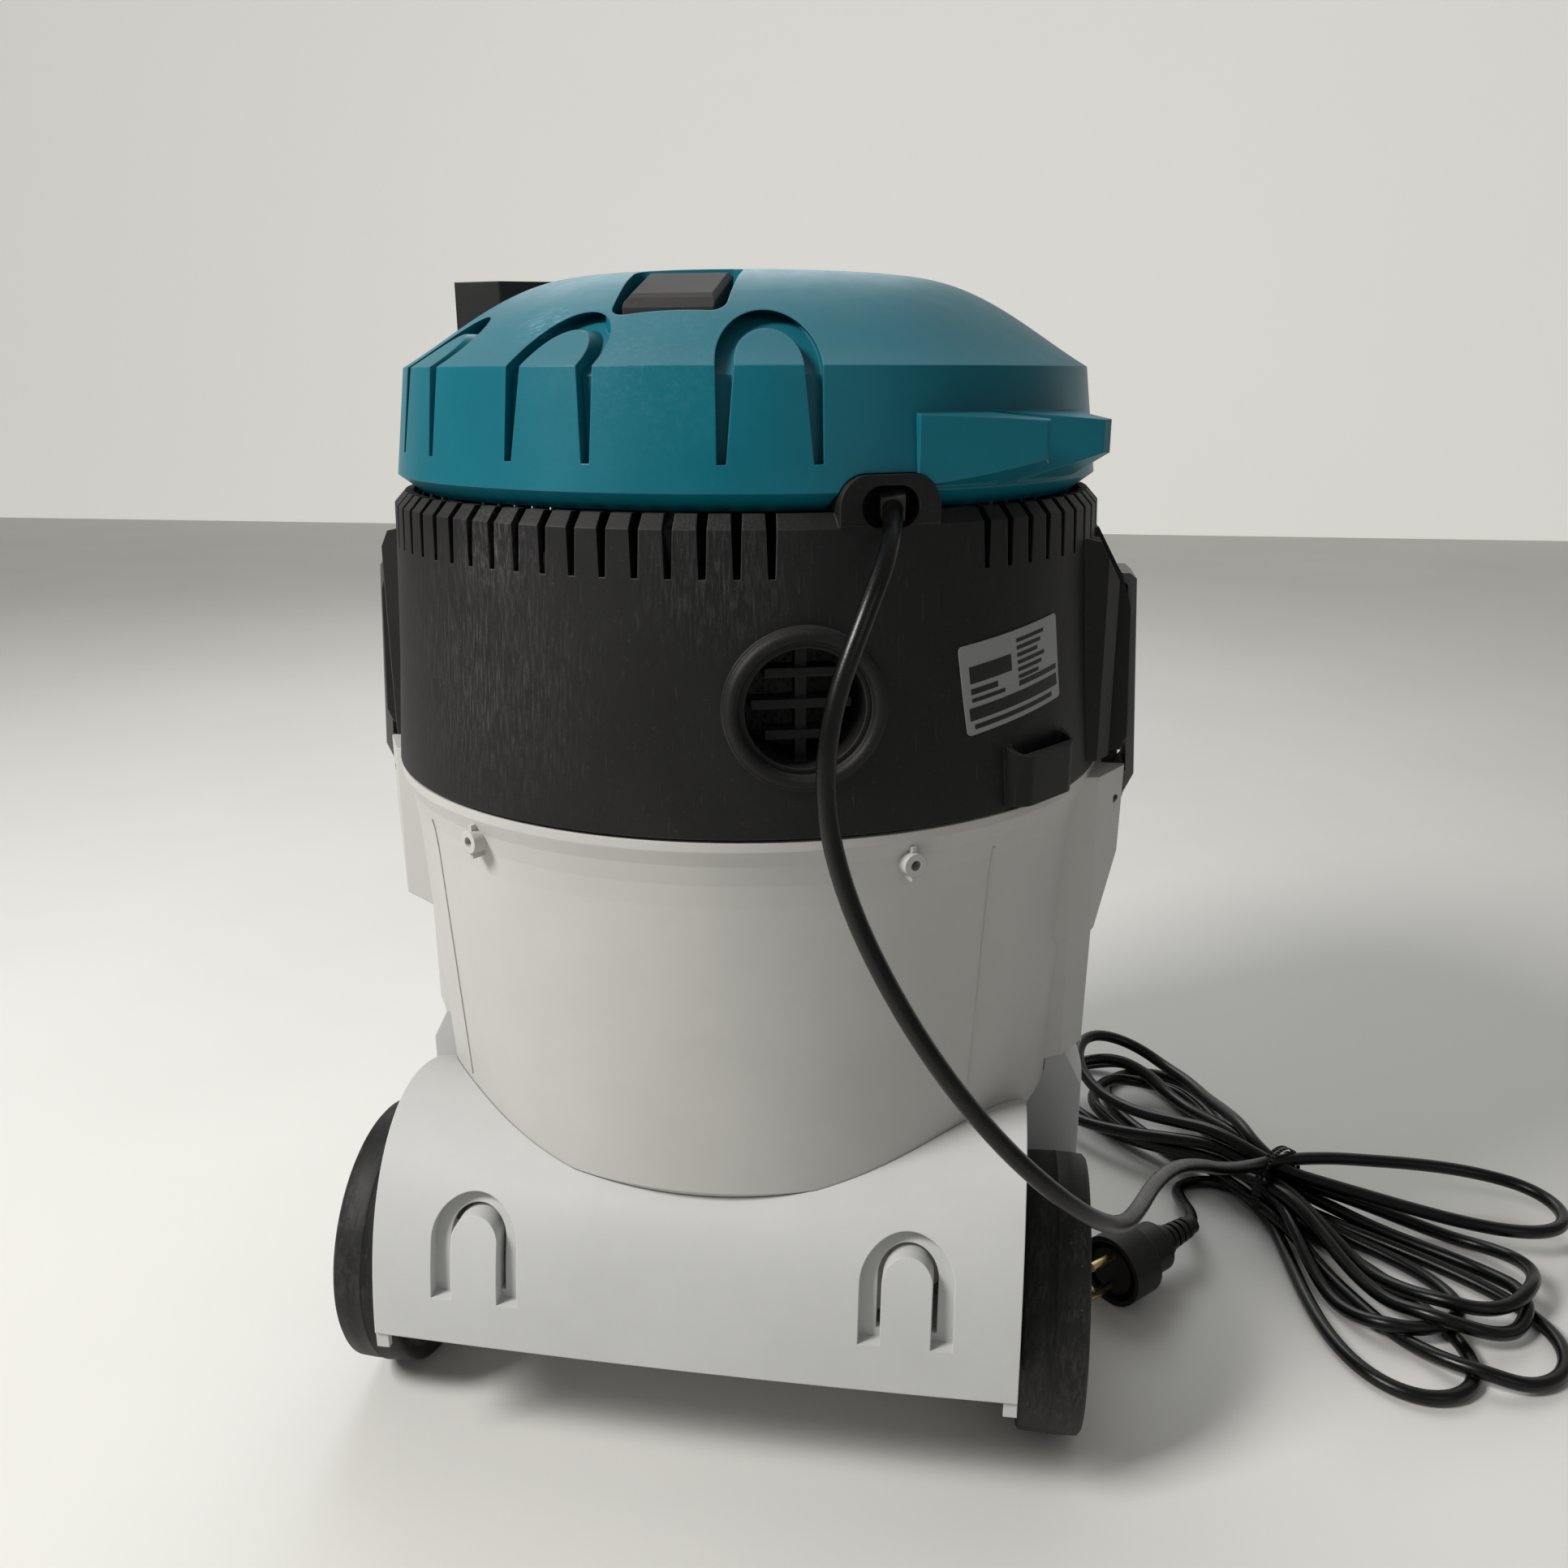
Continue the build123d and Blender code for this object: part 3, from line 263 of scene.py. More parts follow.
    def finish(self, colour: object, roughness: object, normal: object,
               shine: float = 0.5) -> bpy.types.Material:
        """Fill the shader and hand over the material."""
        self.shader.inputs["Specular IOR Level"].default_value = shine
        self.feed(self.shader.inputs["Base Color"], colour)
        self.feed(self.shader.inputs["Roughness"], roughness)
        self.feed(self.shader.inputs["Normal"], normal)
        return self.material


# ------------------------------------------------------------------ finishes
@dataclass(frozen=True)
class Scuff:
    """A rubbed place on a moulding: where it is, how far it reaches and how strong it is."""

    at: Point
    reach: float
    strength: float
    stretch: Point = (1.0, 1.0, 1.0)


@dataclass(frozen=True)
class MouldedPlastic:
    """Injection-moulded plastic with spark texture, dust, rubbed edges and scratches."""

    name: str
    slot: str
    colour: Colour
    sheen: Sheen
    grain: float = 0.7 * MM
    grain_depth: float = 0.035 * MM
    mottle: float = 0.10
    edge: float = 0.8 * MM
    wear: float = 0.15
    wear_colour: Colour = (0.5, 0.5, 0.5)
    dust: float = 0.12
    dust_colour: Colour = (0.55, 0.52, 0.47)
    scratches: float = 0.10
    scuffs: tuple[Scuff, ...] = ()
    shine: float = 0.26

    def make(self) -> bpy.types.Material:
        """Build the material.

        Returns:
            The finished material.
        """
        graph = Graph(self.name)
        cloud = graph.noise(60 * MM, 5.0, 0.6)
        speck = graph.noise(2.5 * MM, 3.0, 0.7)
        deep = tuple(channel * (1.0 - 1.6 * self.mottle) for channel in self.colour)
        light = tuple(min(1.0, channel * (1.0 + self.mottle)) for channel in self.colour)
        colour = graph.blend(graph.ramp(cloud, 0.3, 0.7), deep, light)
        colour = graph.blend(graph.ramp(speck, 0.62, 0.8, 0.0, 0.5 * self.mottle), colour,
                             self.wear_colour)
        rounded = graph.rounded(self.edge)
        rub = graph.calc("MULTIPLY", graph.edges(rounded), graph.ramp(cloud, 0.35, 0.65))
        colour = graph.blend(graph.calc("MULTIPLY", rub, self.wear), colour, self.wear_colour)
        marks = self.scratch_mask(graph)
        colour = graph.blend(marks, colour, self.wear_colour)
        film = graph.calc("MULTIPLY", graph.facing_up(0.1, 1.0), graph.noise(9 * MM, 6.0, 0.7))
        colour = graph.blend(graph.calc("MULTIPLY", film, self.dust), colour, self.dust_colour)
        roughness = graph.ramp(cloud, 0.25, 0.75, self.sheen.value - 0.05,
                               self.sheen.value + 0.06)
        roughness = graph.calc("ADD", roughness, graph.calc("MULTIPLY", film, 0.2))
        waves = graph.bump(graph.noise(24 * MM, 1.0), 0.12 * MM, rounded)
        normal = graph.bump(graph.noise(self.grain, 2.0, 0.6), self.grain_depth, waves)
        return graph.finish(colour, roughness, normal, self.shine)

    def scratch_mask(self, graph: Graph) -> bpy.types.NodeSocket:
        """Fine hairlines all over, and the stronger scuffed places.

        Args:
            graph: The material's graph.

        Returns:
            The share of the rubbed colour.
        """
        hairs = graph.noise(8 * MM, 2.0, 0.5, stretch=(6.0, 6.0, 0.35))
        total = graph.ramp(hairs, 0.66, 0.74, 0.0, self.scratches)
        for scuff in self.scuffs:
            lines = graph.noise(3 * MM, 6.0, 0.75, stretch=scuff.stretch)
            patch = graph.calc("MULTIPLY", graph.near(scuff.at, scuff.reach),
                               graph.ramp(lines, 0.48, 0.7, 0.0, scuff.strength))
            total = graph.calc("ADD", total, patch)
        return total


@dataclass(frozen=True)
class DustyRubber:
    """Black rubber with grey dust in its pores and pale rubbed streaks."""

    name: str
    slot: str
    colour: Colour
    sheen: Sheen
    dust: float = 0.3
    dust_colour: Colour = (0.30, 0.29, 0.27)
    pore: float = 0.9 * MM
    streak: Point = (1.0, 1.0, 1.0)
    shine: float = 0.32

    def make(self) -> bpy.types.Material:
        """Build the material.

        Returns:
            The finished material.
        """
        graph = Graph(self.name)
        patch = graph.noise(28 * MM, 4.0, 0.65)
        fine = graph.noise(1.6 * MM, 4.0, 0.75, stretch=self.streak)
        spots = graph.ramp(graph.noise(3.2 * MM, 3.0, 0.8), 0.66, 0.72, 0.0, self.dust)
        film = graph.calc("MULTIPLY", graph.ramp(patch, 0.42, 0.66),
                          graph.ramp(fine, 0.42, 0.7, 0.0, self.dust))
        colour = graph.blend(graph.calc("ADD", film, spots), self.colour, self.dust_colour)
        roughness = graph.ramp(patch, 0.3, 0.7, self.sheen.value, self.sheen.value + 0.14)
        rounded = graph.rounded(0.6 * MM)
        normal = graph.bump(graph.noise(self.pore, 2.0), 0.05 * MM, rounded)
        return graph.finish(colour, roughness, normal, self.shine)


@dataclass(frozen=True)
class BareMetal:
    """Plain metal with drawn lines and a little tarnish."""

    name: str
    slot: str
    colour: Colour
    sheen: Sheen
    tarnish: Colour
    draw: Point = (1.0, 1.0, 14.0)

    def make(self) -> bpy.types.Material:
        """Build the material.

        Returns:
            The finished material.
        """
        graph = Graph(self.name)
        graph.feed(graph.shader.inputs["Metallic"], 1.0)
        stain = graph.noise(7 * MM, 4.0, 0.65)
        lines = graph.noise(1.2 * MM, 2.0, 0.5, stretch=self.draw)
        colour = graph.blend(graph.ramp(stain, 0.4, 0.75), self.colour, self.tarnish)
        roughness = graph.ramp(lines, 0.3, 0.7, self.sheen.value - 0.06, self.sheen.value + 0.1)
        normal = graph.bump(lines, 0.01 * MM, graph.rounded(0.3 * MM))
        return graph.finish(colour, roughness, normal)


@dataclass(frozen=True)
class OpenCells:
    """Foam, felt or pleated paper: dull, with pits or fibres."""

    name: str
    slot: str
    colour: Colour
    shadow: Colour
    cell: float
    depth: float

    def make(self) -> bpy.types.Material:
        """Build the material.

        Returns:
            The finished material.
        """
        graph = Graph(self.name)
        pits = graph.cells(self.cell)
        cloud = graph.noise(30 * MM, 4.0)
        share = graph.calc("MULTIPLY", graph.ramp(pits, 0.15, 0.6, 1.0, 0.0),
                           graph.ramp(cloud, 0.2, 0.8, 0.5, 1.0))
        colour = graph.blend(share, self.colour, self.shadow)
        normal = graph.bump(pits, self.depth)
        return graph.finish(colour, Sheen.DRY.value, normal)


@dataclass(frozen=True)
class WoundCopper:
    """Laminated iron with varnished windings, told apart by height bands."""

    name: str
    slot: str
    iron: Colour
    copper: Colour

    def make(self) -> bpy.types.Material:
        """Build the material.

        Returns:
            The finished material.
        """
        graph = Graph(self.name)
        graph.feed(graph.shader.inputs["Metallic"], 0.6)
        sheets = graph.noise(1.1 * MM, 1.0, 0.5, stretch=(0.05, 0.05, 1.0))
        colour = graph.blend(graph.ramp(sheets, 0.35, 0.65), self.iron, self.copper)
        normal = graph.bump(sheets, 0.1 * MM, graph.rounded(0.5 * MM))
        return graph.finish(colour, graph.ramp(sheets, 0.2, 0.8, 0.35, 0.6), normal)


@dataclass(frozen=True)
class CircuitBoard:
    """Green board with paler tracks."""

    name: str
    slot: str
    mask: Colour
    track: Colour

    def make(self) -> bpy.types.Material:
        """Build the material.

        Returns:
            The finished material.
        """
        graph = Graph(self.name)
        along = graph.noise(3 * MM, 0.0, 0.5, stretch=(0.15, 1.0, 1.0))
        across = graph.noise(3 * MM, 0.0, 0.5, stretch=(1.0, 0.15, 1.0))
        tracks = graph.calc("MAXIMUM", graph.ramp(along, 0.56, 0.58), graph.ramp(across, 0.6, 0.62))
        colour = graph.blend(tracks, self.mask, self.track)
        normal = graph.bump(tracks, 0.03 * MM, graph.rounded(0.3 * MM))
        return graph.finish(colour, graph.ramp(tracks, 0.0, 1.0, 0.3, 0.42), normal)


class Finishes:
    """All finishes of the machine, each made once and handed out by name."""

    def __init__(self) -> None:
        """Make the palette; materials are built when first asked for."""
        self.made: dict[str, bpy.types.Material] = {}
        self.palette = {finish.name: finish for finish in self.all()}

    @staticmethod
    def all() -> list:
        """The palette.

        Returns:
            One finish for each kind of surface.
        """
        black_wear = (0.20, 0.20, 0.20)
        housing_scuffs = (
            Scuff((0.085, 0.145, 0.375), 0.07, 0.30, (3.0, 3.0, 0.25)),
            Scuff((0.075, 0.150, 0.425), 0.03, 0.45, (3.0, 3.0, 0.5)),
            Scuff((-0.020, 0.168, 0.420), 0.04, 0.25, (3.0, 3.0, 0.3)),
        )
        cover_scuffs = (
            Scuff((0.060, 0.120, 0.512), 0.016, 0.9, (0.7, 2.0, 1.0)),
            Scuff((0.010, 0.150, 0.500), 0.05, 0.12, (1.0, 1.0, 1.0)),
        )
        return [
            MouldedPlastic("container_plastic", "container_grey", (0.50, 0.49, 0.47), Sheen.SOFT,
                           mottle=0.03, wear=0.25, wear_colour=(0.75, 0.74, 0.72), dust=0.10,
                           scratches=0.03),
            MouldedPlastic("chassis_plastic", "chassis_grey", (0.52, 0.525, 0.52), Sheen.SOFT,
                           mottle=0.03, wear=0.25, wear_colour=(0.75, 0.75, 0.74), dust=0.20,
                           scratches=0.04),
            MouldedPlastic("housing_plastic", "housing_black", (0.0075, 0.0072, 0.0075), Sheen.SOFT,
                           grain=0.9 * MM, grain_depth=0.06 * MM, mottle=0.20, wear=0.25,
                           wear_colour=black_wear, dust=0.035, scratches=0.05,
                           scuffs=housing_scuffs),
            MouldedPlastic("cover_plastic", "cover_teal", (0.001, 0.120, 0.165), Sheen.SATIN,
                           mottle=0.05, wear=0.2, wear_colour=(0.20, 0.40, 0.50), dust=0.03,
                           scratches=0.02, scuffs=cover_scuffs),
            MouldedPlastic("handle_plastic", "button_grey", (0.022, 0.022, 0.023), Sheen.MATTE,
                           mottle=0.12, wear=0.25, wear_colour=black_wear, dust=0.08,
                           scratches=0.06),
            MouldedPlastic("clamp_plastic", "clamp_grey", (0.42, 0.42, 0.40), Sheen.SOFT),
            MouldedPlastic("hub_plastic", "hub_grey", (0.46, 0.46, 0.46), Sheen.SOFT, dust=0.25),
            MouldedPlastic("latch_plastic", "latch_grey", (0.10, 0.095, 0.09), Sheen.SATIN,
                           mottle=0.05, wear=0.4, wear_colour=(0.6, 0.6, 0.6)),
            MouldedPlastic("plate_foil", "label_silver", (0.26, 0.262, 0.265), Sheen.SATIN,
                           grain=0.4 * MM, grain_depth=0.006 * MM, mottle=0.02, edge=0.2 * MM,
                           wear=0.1, dust=0.05, scratches=0.05),
            MouldedPlastic("plate_ink", "housing_black", (0.015, 0.015, 0.016), Sheen.SATIN,
                           grain=0.4 * MM, grain_depth=0.004 * MM, mottle=0.05, edge=0.1 * MM,
                           wear=0.05, dust=0.05, scratches=0.02, wear_colour=black_wear),
            MouldedPlastic("socket_plastic", "socket_grey", (0.07, 0.07, 0.075), Sheen.SATIN,
                           wear_colour=black_wear),
            CircuitBoard("board_laminate", "board_green", (0.02, 0.16, 0.06), (0.10, 0.36, 0.14)),
            BareMetal("zinc_steel", "steel", (0.55, 0.55, 0.55), Sheen.SATIN, (0.36, 0.35, 0.33)),
            BareMetal("cast_aluminium", "aluminium", (0.72, 0.72, 0.73), Sheen.SATIN,
                      (0.55, 0.55, 0.56), draw=(1.0, 1.0, 1.0)),
            WoundCopper("motor_iron", "laminations", (0.28, 0.22, 0.16), (0.55, 0.25, 0.10)),
            OpenCells("silencer_cells", "foam", (0.12, 0.12, 0.12), (0.03, 0.03, 0.03),
                      2.2 * MM, 0.8 * MM),
            OpenCells("filter_fleece", "filter_paper", (0.78, 0.76, 0.70), (0.60, 0.57, 0.50),
                      0.9 * MM, 0.12 * MM),
            DustyRubber("seal_rubber", "black_rubber", (0.018, 0.018, 0.018), Sheen.SOFT,
                        dust=0.15),
            DustyRubber("tyre_rubber", "tyre_black", (0.006, 0.006, 0.006), Sheen.SOFT, dust=0.16,
                        streak=(1.0, 0.25, 0.25)),
            DustyRubber("lead_rubber", "cord_black", (0.002, 0.002, 0.002), Sheen.GLOSSY,
                        dust=0.015, pore=0.6 * MM),
            MouldedPlastic("plug_plastic", "plug_black", (0.005, 0.005, 0.005), Sheen.SATIN,
                           mottle=0.15, wear=0.25, wear_colour=black_wear, dust=0.06),
            BareMetal("pin_brass", "brass", (0.78, 0.62, 0.32), Sheen.GLOSSY, (0.55, 0.40, 0.20)),
        ]

    def get(self, name: str) -> bpy.types.Material:
        """The material of a finish, built the first time."""
        if name not in self.made:
            self.made[name] = self.palette[name].make()
        return self.made[name]

    def dress(self, finish: str, *nodes: str) -> None:
        """Give some of the frame's nodes one finish.

        Args:
            finish: Name of the finish.
            nodes: Names of the nodes.
        """
        for node in nodes:
            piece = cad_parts[node]
            for index in range(len(piece.data.materials)):
                piece.data.materials[index] = self.get(finish)
        log.info("%s dresses %s", finish, ", ".join(nodes))

    def coat(self, piece: bpy.types.Object, finish: str) -> None:
        """Give a new piece its finish."""
        piece.data.materials.clear()
        piece.data.materials.append(self.get(finish))


# ------------------------------------------------------------------ bmesh workshop
class Workshop:
    """Small helpers shared by the sub-assemblies."""

    @staticmethod
    def piece(name: str, mesh: bmesh.types.BMesh, smooth: float = 35.0) -> bpy.types.Object:
        """Turn a bmesh into a piece with smooth faces and crisp edges.

        Args:
            name: Name of the piece.
            mesh: The finished bmesh, which is freed.
            smooth: Edges that turn by more degrees than this stay crisp.

        Returns:
            The new object, at the origin.
        """
        bmesh.ops.remove_doubles(mesh, verts=mesh.verts, dist=1e-6)
        bmesh.ops.recalc_face_normals(mesh, faces=mesh.faces)
        for face in mesh.faces:
            face.smooth = True
        for edge in mesh.edges:
            if edge.is_manifold and edge.calc_face_angle(0.0) > math.radians(smooth):
                edge.smooth = False
        data = bpy.data.meshes.new(name)
        mesh.to_mesh(data)
        mesh.free()
        made = bpy.data.objects.new(name, data)
        bpy.context.scene.collection.objects.link(made)
        return made

    @staticmethod
    def spun(mesh: bmesh.types.BMesh, outline: list[Point], axis: Point, centre: Point,
             steps: int) -> None:
        """Spin a closed outline fully round an axis.

        Args:
            mesh: The bmesh to add to.
            outline: Corners of the outline.
            axis: Direction of the axis.
            centre: A point on the axis.
            steps: Number of steps round.
        """
        corners = [mesh.verts.new(corner) for corner in outline]
        rim = [mesh.edges.new(pair) for pair in zip(corners, corners[1:] + corners[:1])]
        bmesh.ops.spin(mesh, geom=corners + rim, axis=axis, cent=centre, angle=2 * math.pi,
                       steps=steps, use_merge=True, use_duplicate=False)


@dataclass
class Studio:
    """Pale floor, soft lights and the camera."""

    eye: Point = (-0.1246, 0.6680, 0.4901)
    azimuth: float = math.radians(189.11)
    pitch: float = math.radians(16.69)
    roll: float = math.radians(-0.12)
    lens: float = 31.13
    floor_colour: Colour = (0.72, 0.71, 0.68)
    wall_colour: Colour = (0.62, 0.61, 0.58)
    wall_glow: float = 0.70

    def camera(self) -> None:
        """Make the camera and point it."""
        right = Vector((math.cos(self.azimuth), math.sin(self.azimuth), 0.0))
        back = Vector((math.sin(self.azimuth) * math.cos(self.pitch),
                       -math.cos(self.azimuth) * math.cos(self.pitch), math.sin(self.pitch)))
        up = back.cross(right)
        turn = Matrix((right, up, back)).transposed() @ Matrix.Rotation(self.roll, 3, "Z")
        lens = bpy.data.cameras.new("camera")
        lens.lens = self.lens
        lens.sensor_width = 36.0
        eye = bpy.data.objects.new("camera", lens)
        eye.matrix_world = Matrix.Translation(self.eye) @ turn.to_4x4()
        bpy.context.scene.collection.objects.link(eye)
        bpy.context.scene.camera = eye

    def floor(self) -> None:
        """Make the pale floor with a faint painted grain."""
        mesh = bmesh.new()
        bmesh.ops.create_grid(mesh, x_segments=2, y_segments=2, size=4.0)
        floor = Workshop.piece("floor", mesh)
        graph = Graph("floor_paint")
        cloud = graph.noise(0.5, 5.0)
        shade = tuple(channel * 0.94 for channel in self.floor_colour)
        colour = graph.blend(graph.ramp(cloud, 0.3, 0.7), shade, self.floor_colour)
        normal = graph.bump(graph.noise(3 * MM, 3.0), 0.05 * MM)
        floor.data.materials.append(graph.finish(colour, Sheen.MATTE.value, normal))

    def wall(self) -> None:
        """Make the pale wall far behind, which glows a little like a lit room."""
        mesh = bmesh.new()
        grid = bmesh.ops.create_grid(mesh, x_segments=2, y_segments=2, size=5.0)["verts"]
        bmesh.ops.rotate(mesh, verts=grid, cent=(0, 0, 0),
                         matrix=Matrix.Rotation(math.radians(90), 3, "X"))
        bmesh.ops.translate(mesh, verts=grid, vec=(0.0, -3.9, 4.9))
        wall = Workshop.piece("wall", mesh)
        graph = Graph("wall_paint")
        cloud = graph.noise(0.9, 4.0)
        shade = tuple(channel * 0.97 for channel in self.wall_colour)
        colour = graph.blend(graph.ramp(cloud, 0.3, 0.7), shade, self.wall_colour)
        normal = graph.bump(graph.noise(3 * MM, 3.0), 0.05 * MM)
        paint = graph.finish(colour, Sheen.MATTE.value, normal)
        for node in paint.node_tree.nodes:
            if node.type == "BSDF_PRINCIPLED":
                node.inputs["Emission Color"].default_value = (*self.wall_colour, 1.0)
                node.inputs["Emission Strength"].default_value = self.wall_glow
        wall.data.materials.append(paint)

    def lamp(self, name: str, at: Point, size: float, power: float, colour: Colour) -> None:
        """Hang one square soft light that looks at the machine.

        Args:
            name: Name of the light.
            at: Where it hangs.
            size: Length of its side.
            power: Its power in watts.
            colour: Its colour.
        """
        light = bpy.data.lights.new(name, "AREA")
        light.size = size
        light.energy = power
        light.color = colour
        lamp = bpy.data.objects.new(name, light)
        aim = (Vector((0.0, 0.0, 0.3)) - Vector(at)).to_track_quat("-Z", "Y")
        lamp.matrix_world = Matrix.Translation(at) @ aim.to_matrix().to_4x4()
        bpy.context.scene.collection.objects.link(lamp)

    def build(self) -> None:
        """Make the whole studio."""
        self.camera()
        self.floor()
        self.wall()
        self.lamp("key_light", (1.30, 1.05, 1.70), 0.6, 50.0, (1.0, 0.985, 0.96))
        self.lamp("fill_light", (-1.4, 1.6, 1.3), 1.0, 2.5, (0.95, 0.97, 1.0))
        self.lamp("rim_light", (0.4, -1.5, 1.7), 1.2, 14.0, (0.92, 0.96, 1.0))
        world = bpy.data.worlds.new("soft_room")
        world.use_nodes = True
        backdrop = world.node_tree.nodes["Background"]
        backdrop.inputs["Color"].default_value = (0.80, 0.80, 0.78, 1.0)
        backdrop.inputs["Strength"].default_value = 0.24
        bpy.context.scene.world = world
        bpy.context.scene.view_settings.view_transform = "Standard"
        log.info("studio: floor, three soft lights and camera")


# ------------------------------------------------------------------ mains lead
@dataclass
class HankLoop:
    """One open loop of the hank, from the tie out to its far end and back."""

    end: tuple[float, float]
    bulge: float
    sag: float = 0.30
    rise: float = 0.0


@dataclass
class MainsLead:
    """The mains lead: loose stretch down the back, tied hank on the floor, tail to the plug."""

    diameter: float = 7.6 * MM
    tie: tuple[float, float] = (-0.300, -0.094)
    across: tuple[float, float] = (0.687, 0.727)
    loop_points: int = 20
    bearing: float = 8.5 * MM       # how close two strands lie, a little over the diameter
    fine: int = 4                   # closer points between two points of the plan
    apart: float = 0.045            # strands nearer than this along the lead don't stack
    settle: float = 1.3             # reach of the smoothing of the heights, in diameters
    held_points: int = 5            # points of the tail that keep their own height
    droop: float = 0.12             # slope at which the last loop sinks away from the tie

    def route(self) -> list[Point]:
        """Points of the loose stretch, from the gland over the top of the tie.

        Returns:
            The points, in metres.
        """
        return [
            (-0.0827, 0.1439, 0.4420), (-0.0856, 0.1661, 0.4334), (-0.077, 0.187, 0.408),
            (-0.066, 0.197, 0.375), (-0.064, 0.200, 0.340), (-0.073, 0.202, 0.305),
            (-0.090, 0.204, 0.270), (-0.111, 0.205, 0.237), (-0.134, 0.203, 0.208),
            (-0.156, 0.196, 0.184), (-0.175, 0.181, 0.163), (-0.188, 0.157, 0.147),
            (-0.198, 0.122, 0.133), (-0.209, 0.080, 0.119), (-0.224, 0.036, 0.102),
            (-0.243, -0.007, 0.079), (-0.264, -0.044, 0.055), (-0.284, -0.073, 0.040),
            (-0.306, -0.091, 0.036),
        ]

    def tail(self) -> list[Point]:
        """Points of the short stretch between the plug and the hank, from the plug.

        Returns:
            The points, in metres.
        """
        return [(-0.2443, -0.0343, 0.0198), (-0.2495, -0.0400, 0.0192),
                (-0.2515, -0.0550, 0.0165), (-0.2490, -0.0750, 0.0110),
                (-0.2481, -0.0970, 0.0055), (-0.2591, -0.1093, 0.0040),
                (-0.2754, -0.1121, 0.0040), (-0.2900, -0.1044, 0.0040)]

    def loops(self) -> list[HankLoop]:
        """The hank's loops in the order they were wound, the plug's end first.

        Returns:
            Loops that go out to the right and to the left by turns.
        """
        return [
            HankLoop((-0.363, 0.066), 0.050), HankLoop((-0.232, -0.246), 0.052),
            HankLoop((-0.419, 0.045), 0.060), HankLoop((-0.192, -0.250), 0.056),
            HankLoop((-0.372, 0.018), 0.050), HankLoop((-0.216, -0.212), 0.052, 0.25, 0.006),
            HankLoop((-0.412, 0.012), 0.058), HankLoop((-0.186, -0.214), 0.056, 0.25, 0.010),
            HankLoop((-0.424, -0.010), 0.064, 0.25),
            HankLoop((-0.206, -0.232), 0.054, 0.25, 0.010),
            HankLoop((-0.466, -0.084), 0.046, 0.06),
        ]

    def lanes(self) -> list[float]:
        """Where each passage lies in the tie, across the hank.

        Returns:
            One signed offset for every passage between two loops, both ends included.
        """
        return [0.0045, -0.0045, 0.0135, -0.0135, 0.0045, -0.0045, 0.0130, -0.0130,
                0.0045, -0.0045, 0.0080, -0.0040]

    def plan_of(self, loop: HankLoop, leftward: bool, first: float, last: float) -> np.ndarray:
        """Plan of one loop, which narrows to its lane at the tie and is round at its far end.

        Args:
            loop: The loop.
            leftward: True for a loop that goes out to the left of the tie.
            first: Lane on which it leaves the tie.
            last: Lane on which it comes back.

        Returns:
            Points round the loop, without the ones in the tie.
        """
        tie = np.array(self.tie)
        across = np.array(self.across)
        reach = np.array(loop.end) - tie
        side = np.array((-reach[1], reach[0])) / np.linalg.norm(reach)
        side *= math.copysign(1.0, side @ across)
        way = -1.0 if leftward else 1.0
        points = []
        for step in range(2, self.loop_points - 1):
            turn = 2 * math.pi * step / self.loop_points
            along = (1 - math.cos(turn)) / 2
            sway = way * loop.bulge * math.sin(turn) * math.sin(turn / 2) ** 2
            lane = (first if turn < math.pi else last) * (1 - along) ** 2
            points.append(tie + reach * along + side * sway + across * lane)
        return np.array(points)

    def finely(self, rows: np.ndarray) -> np.ndarray:
        """Points spaced more closely, with the given ones among them."""
        shares = np.arange(self.fine)[:, None] / self.fine
        spans = [rows[i] + (rows[i + 1] - rows[i]) * shares for i in range(len(rows) - 1)]
        return np.vstack(spans + [rows[-1:]])

    def rested(self, plan: np.ndarray, run: np.ndarray, heights: np.ndarray,
               start: int, stop: int) -> np.ndarray:
        """Heights of one laid stretch that lies on the floor and on the strands below it.

        Args:
            plan: Plan of the whole hank, closely spaced.
            run: Distance along the lead at each of those points.
            heights: Heights found so far.
            start: First point of the stretch.
            stop: End of the stretch.

        Returns:
            The lowest height allowed at each point of the stretch.
        """
        low = np.full(stop - start, self.diameter / 2 + 0.2 * MM)
        if start == 0:
            return low
        gap = np.linalg.norm(plan[start:stop, None] - plan[None, :start], axis=2)
        near = (run[start:stop, None] - run[None, :start]) > self.apart
        lift = np.sqrt(np.clip(self.bearing ** 2 - gap ** 2, 0.0, None))
        held = np.where((gap < self.bearing) & near, heights[None, :start] + lift, 0.0)
        return np.maximum(low, held.max(axis=1))

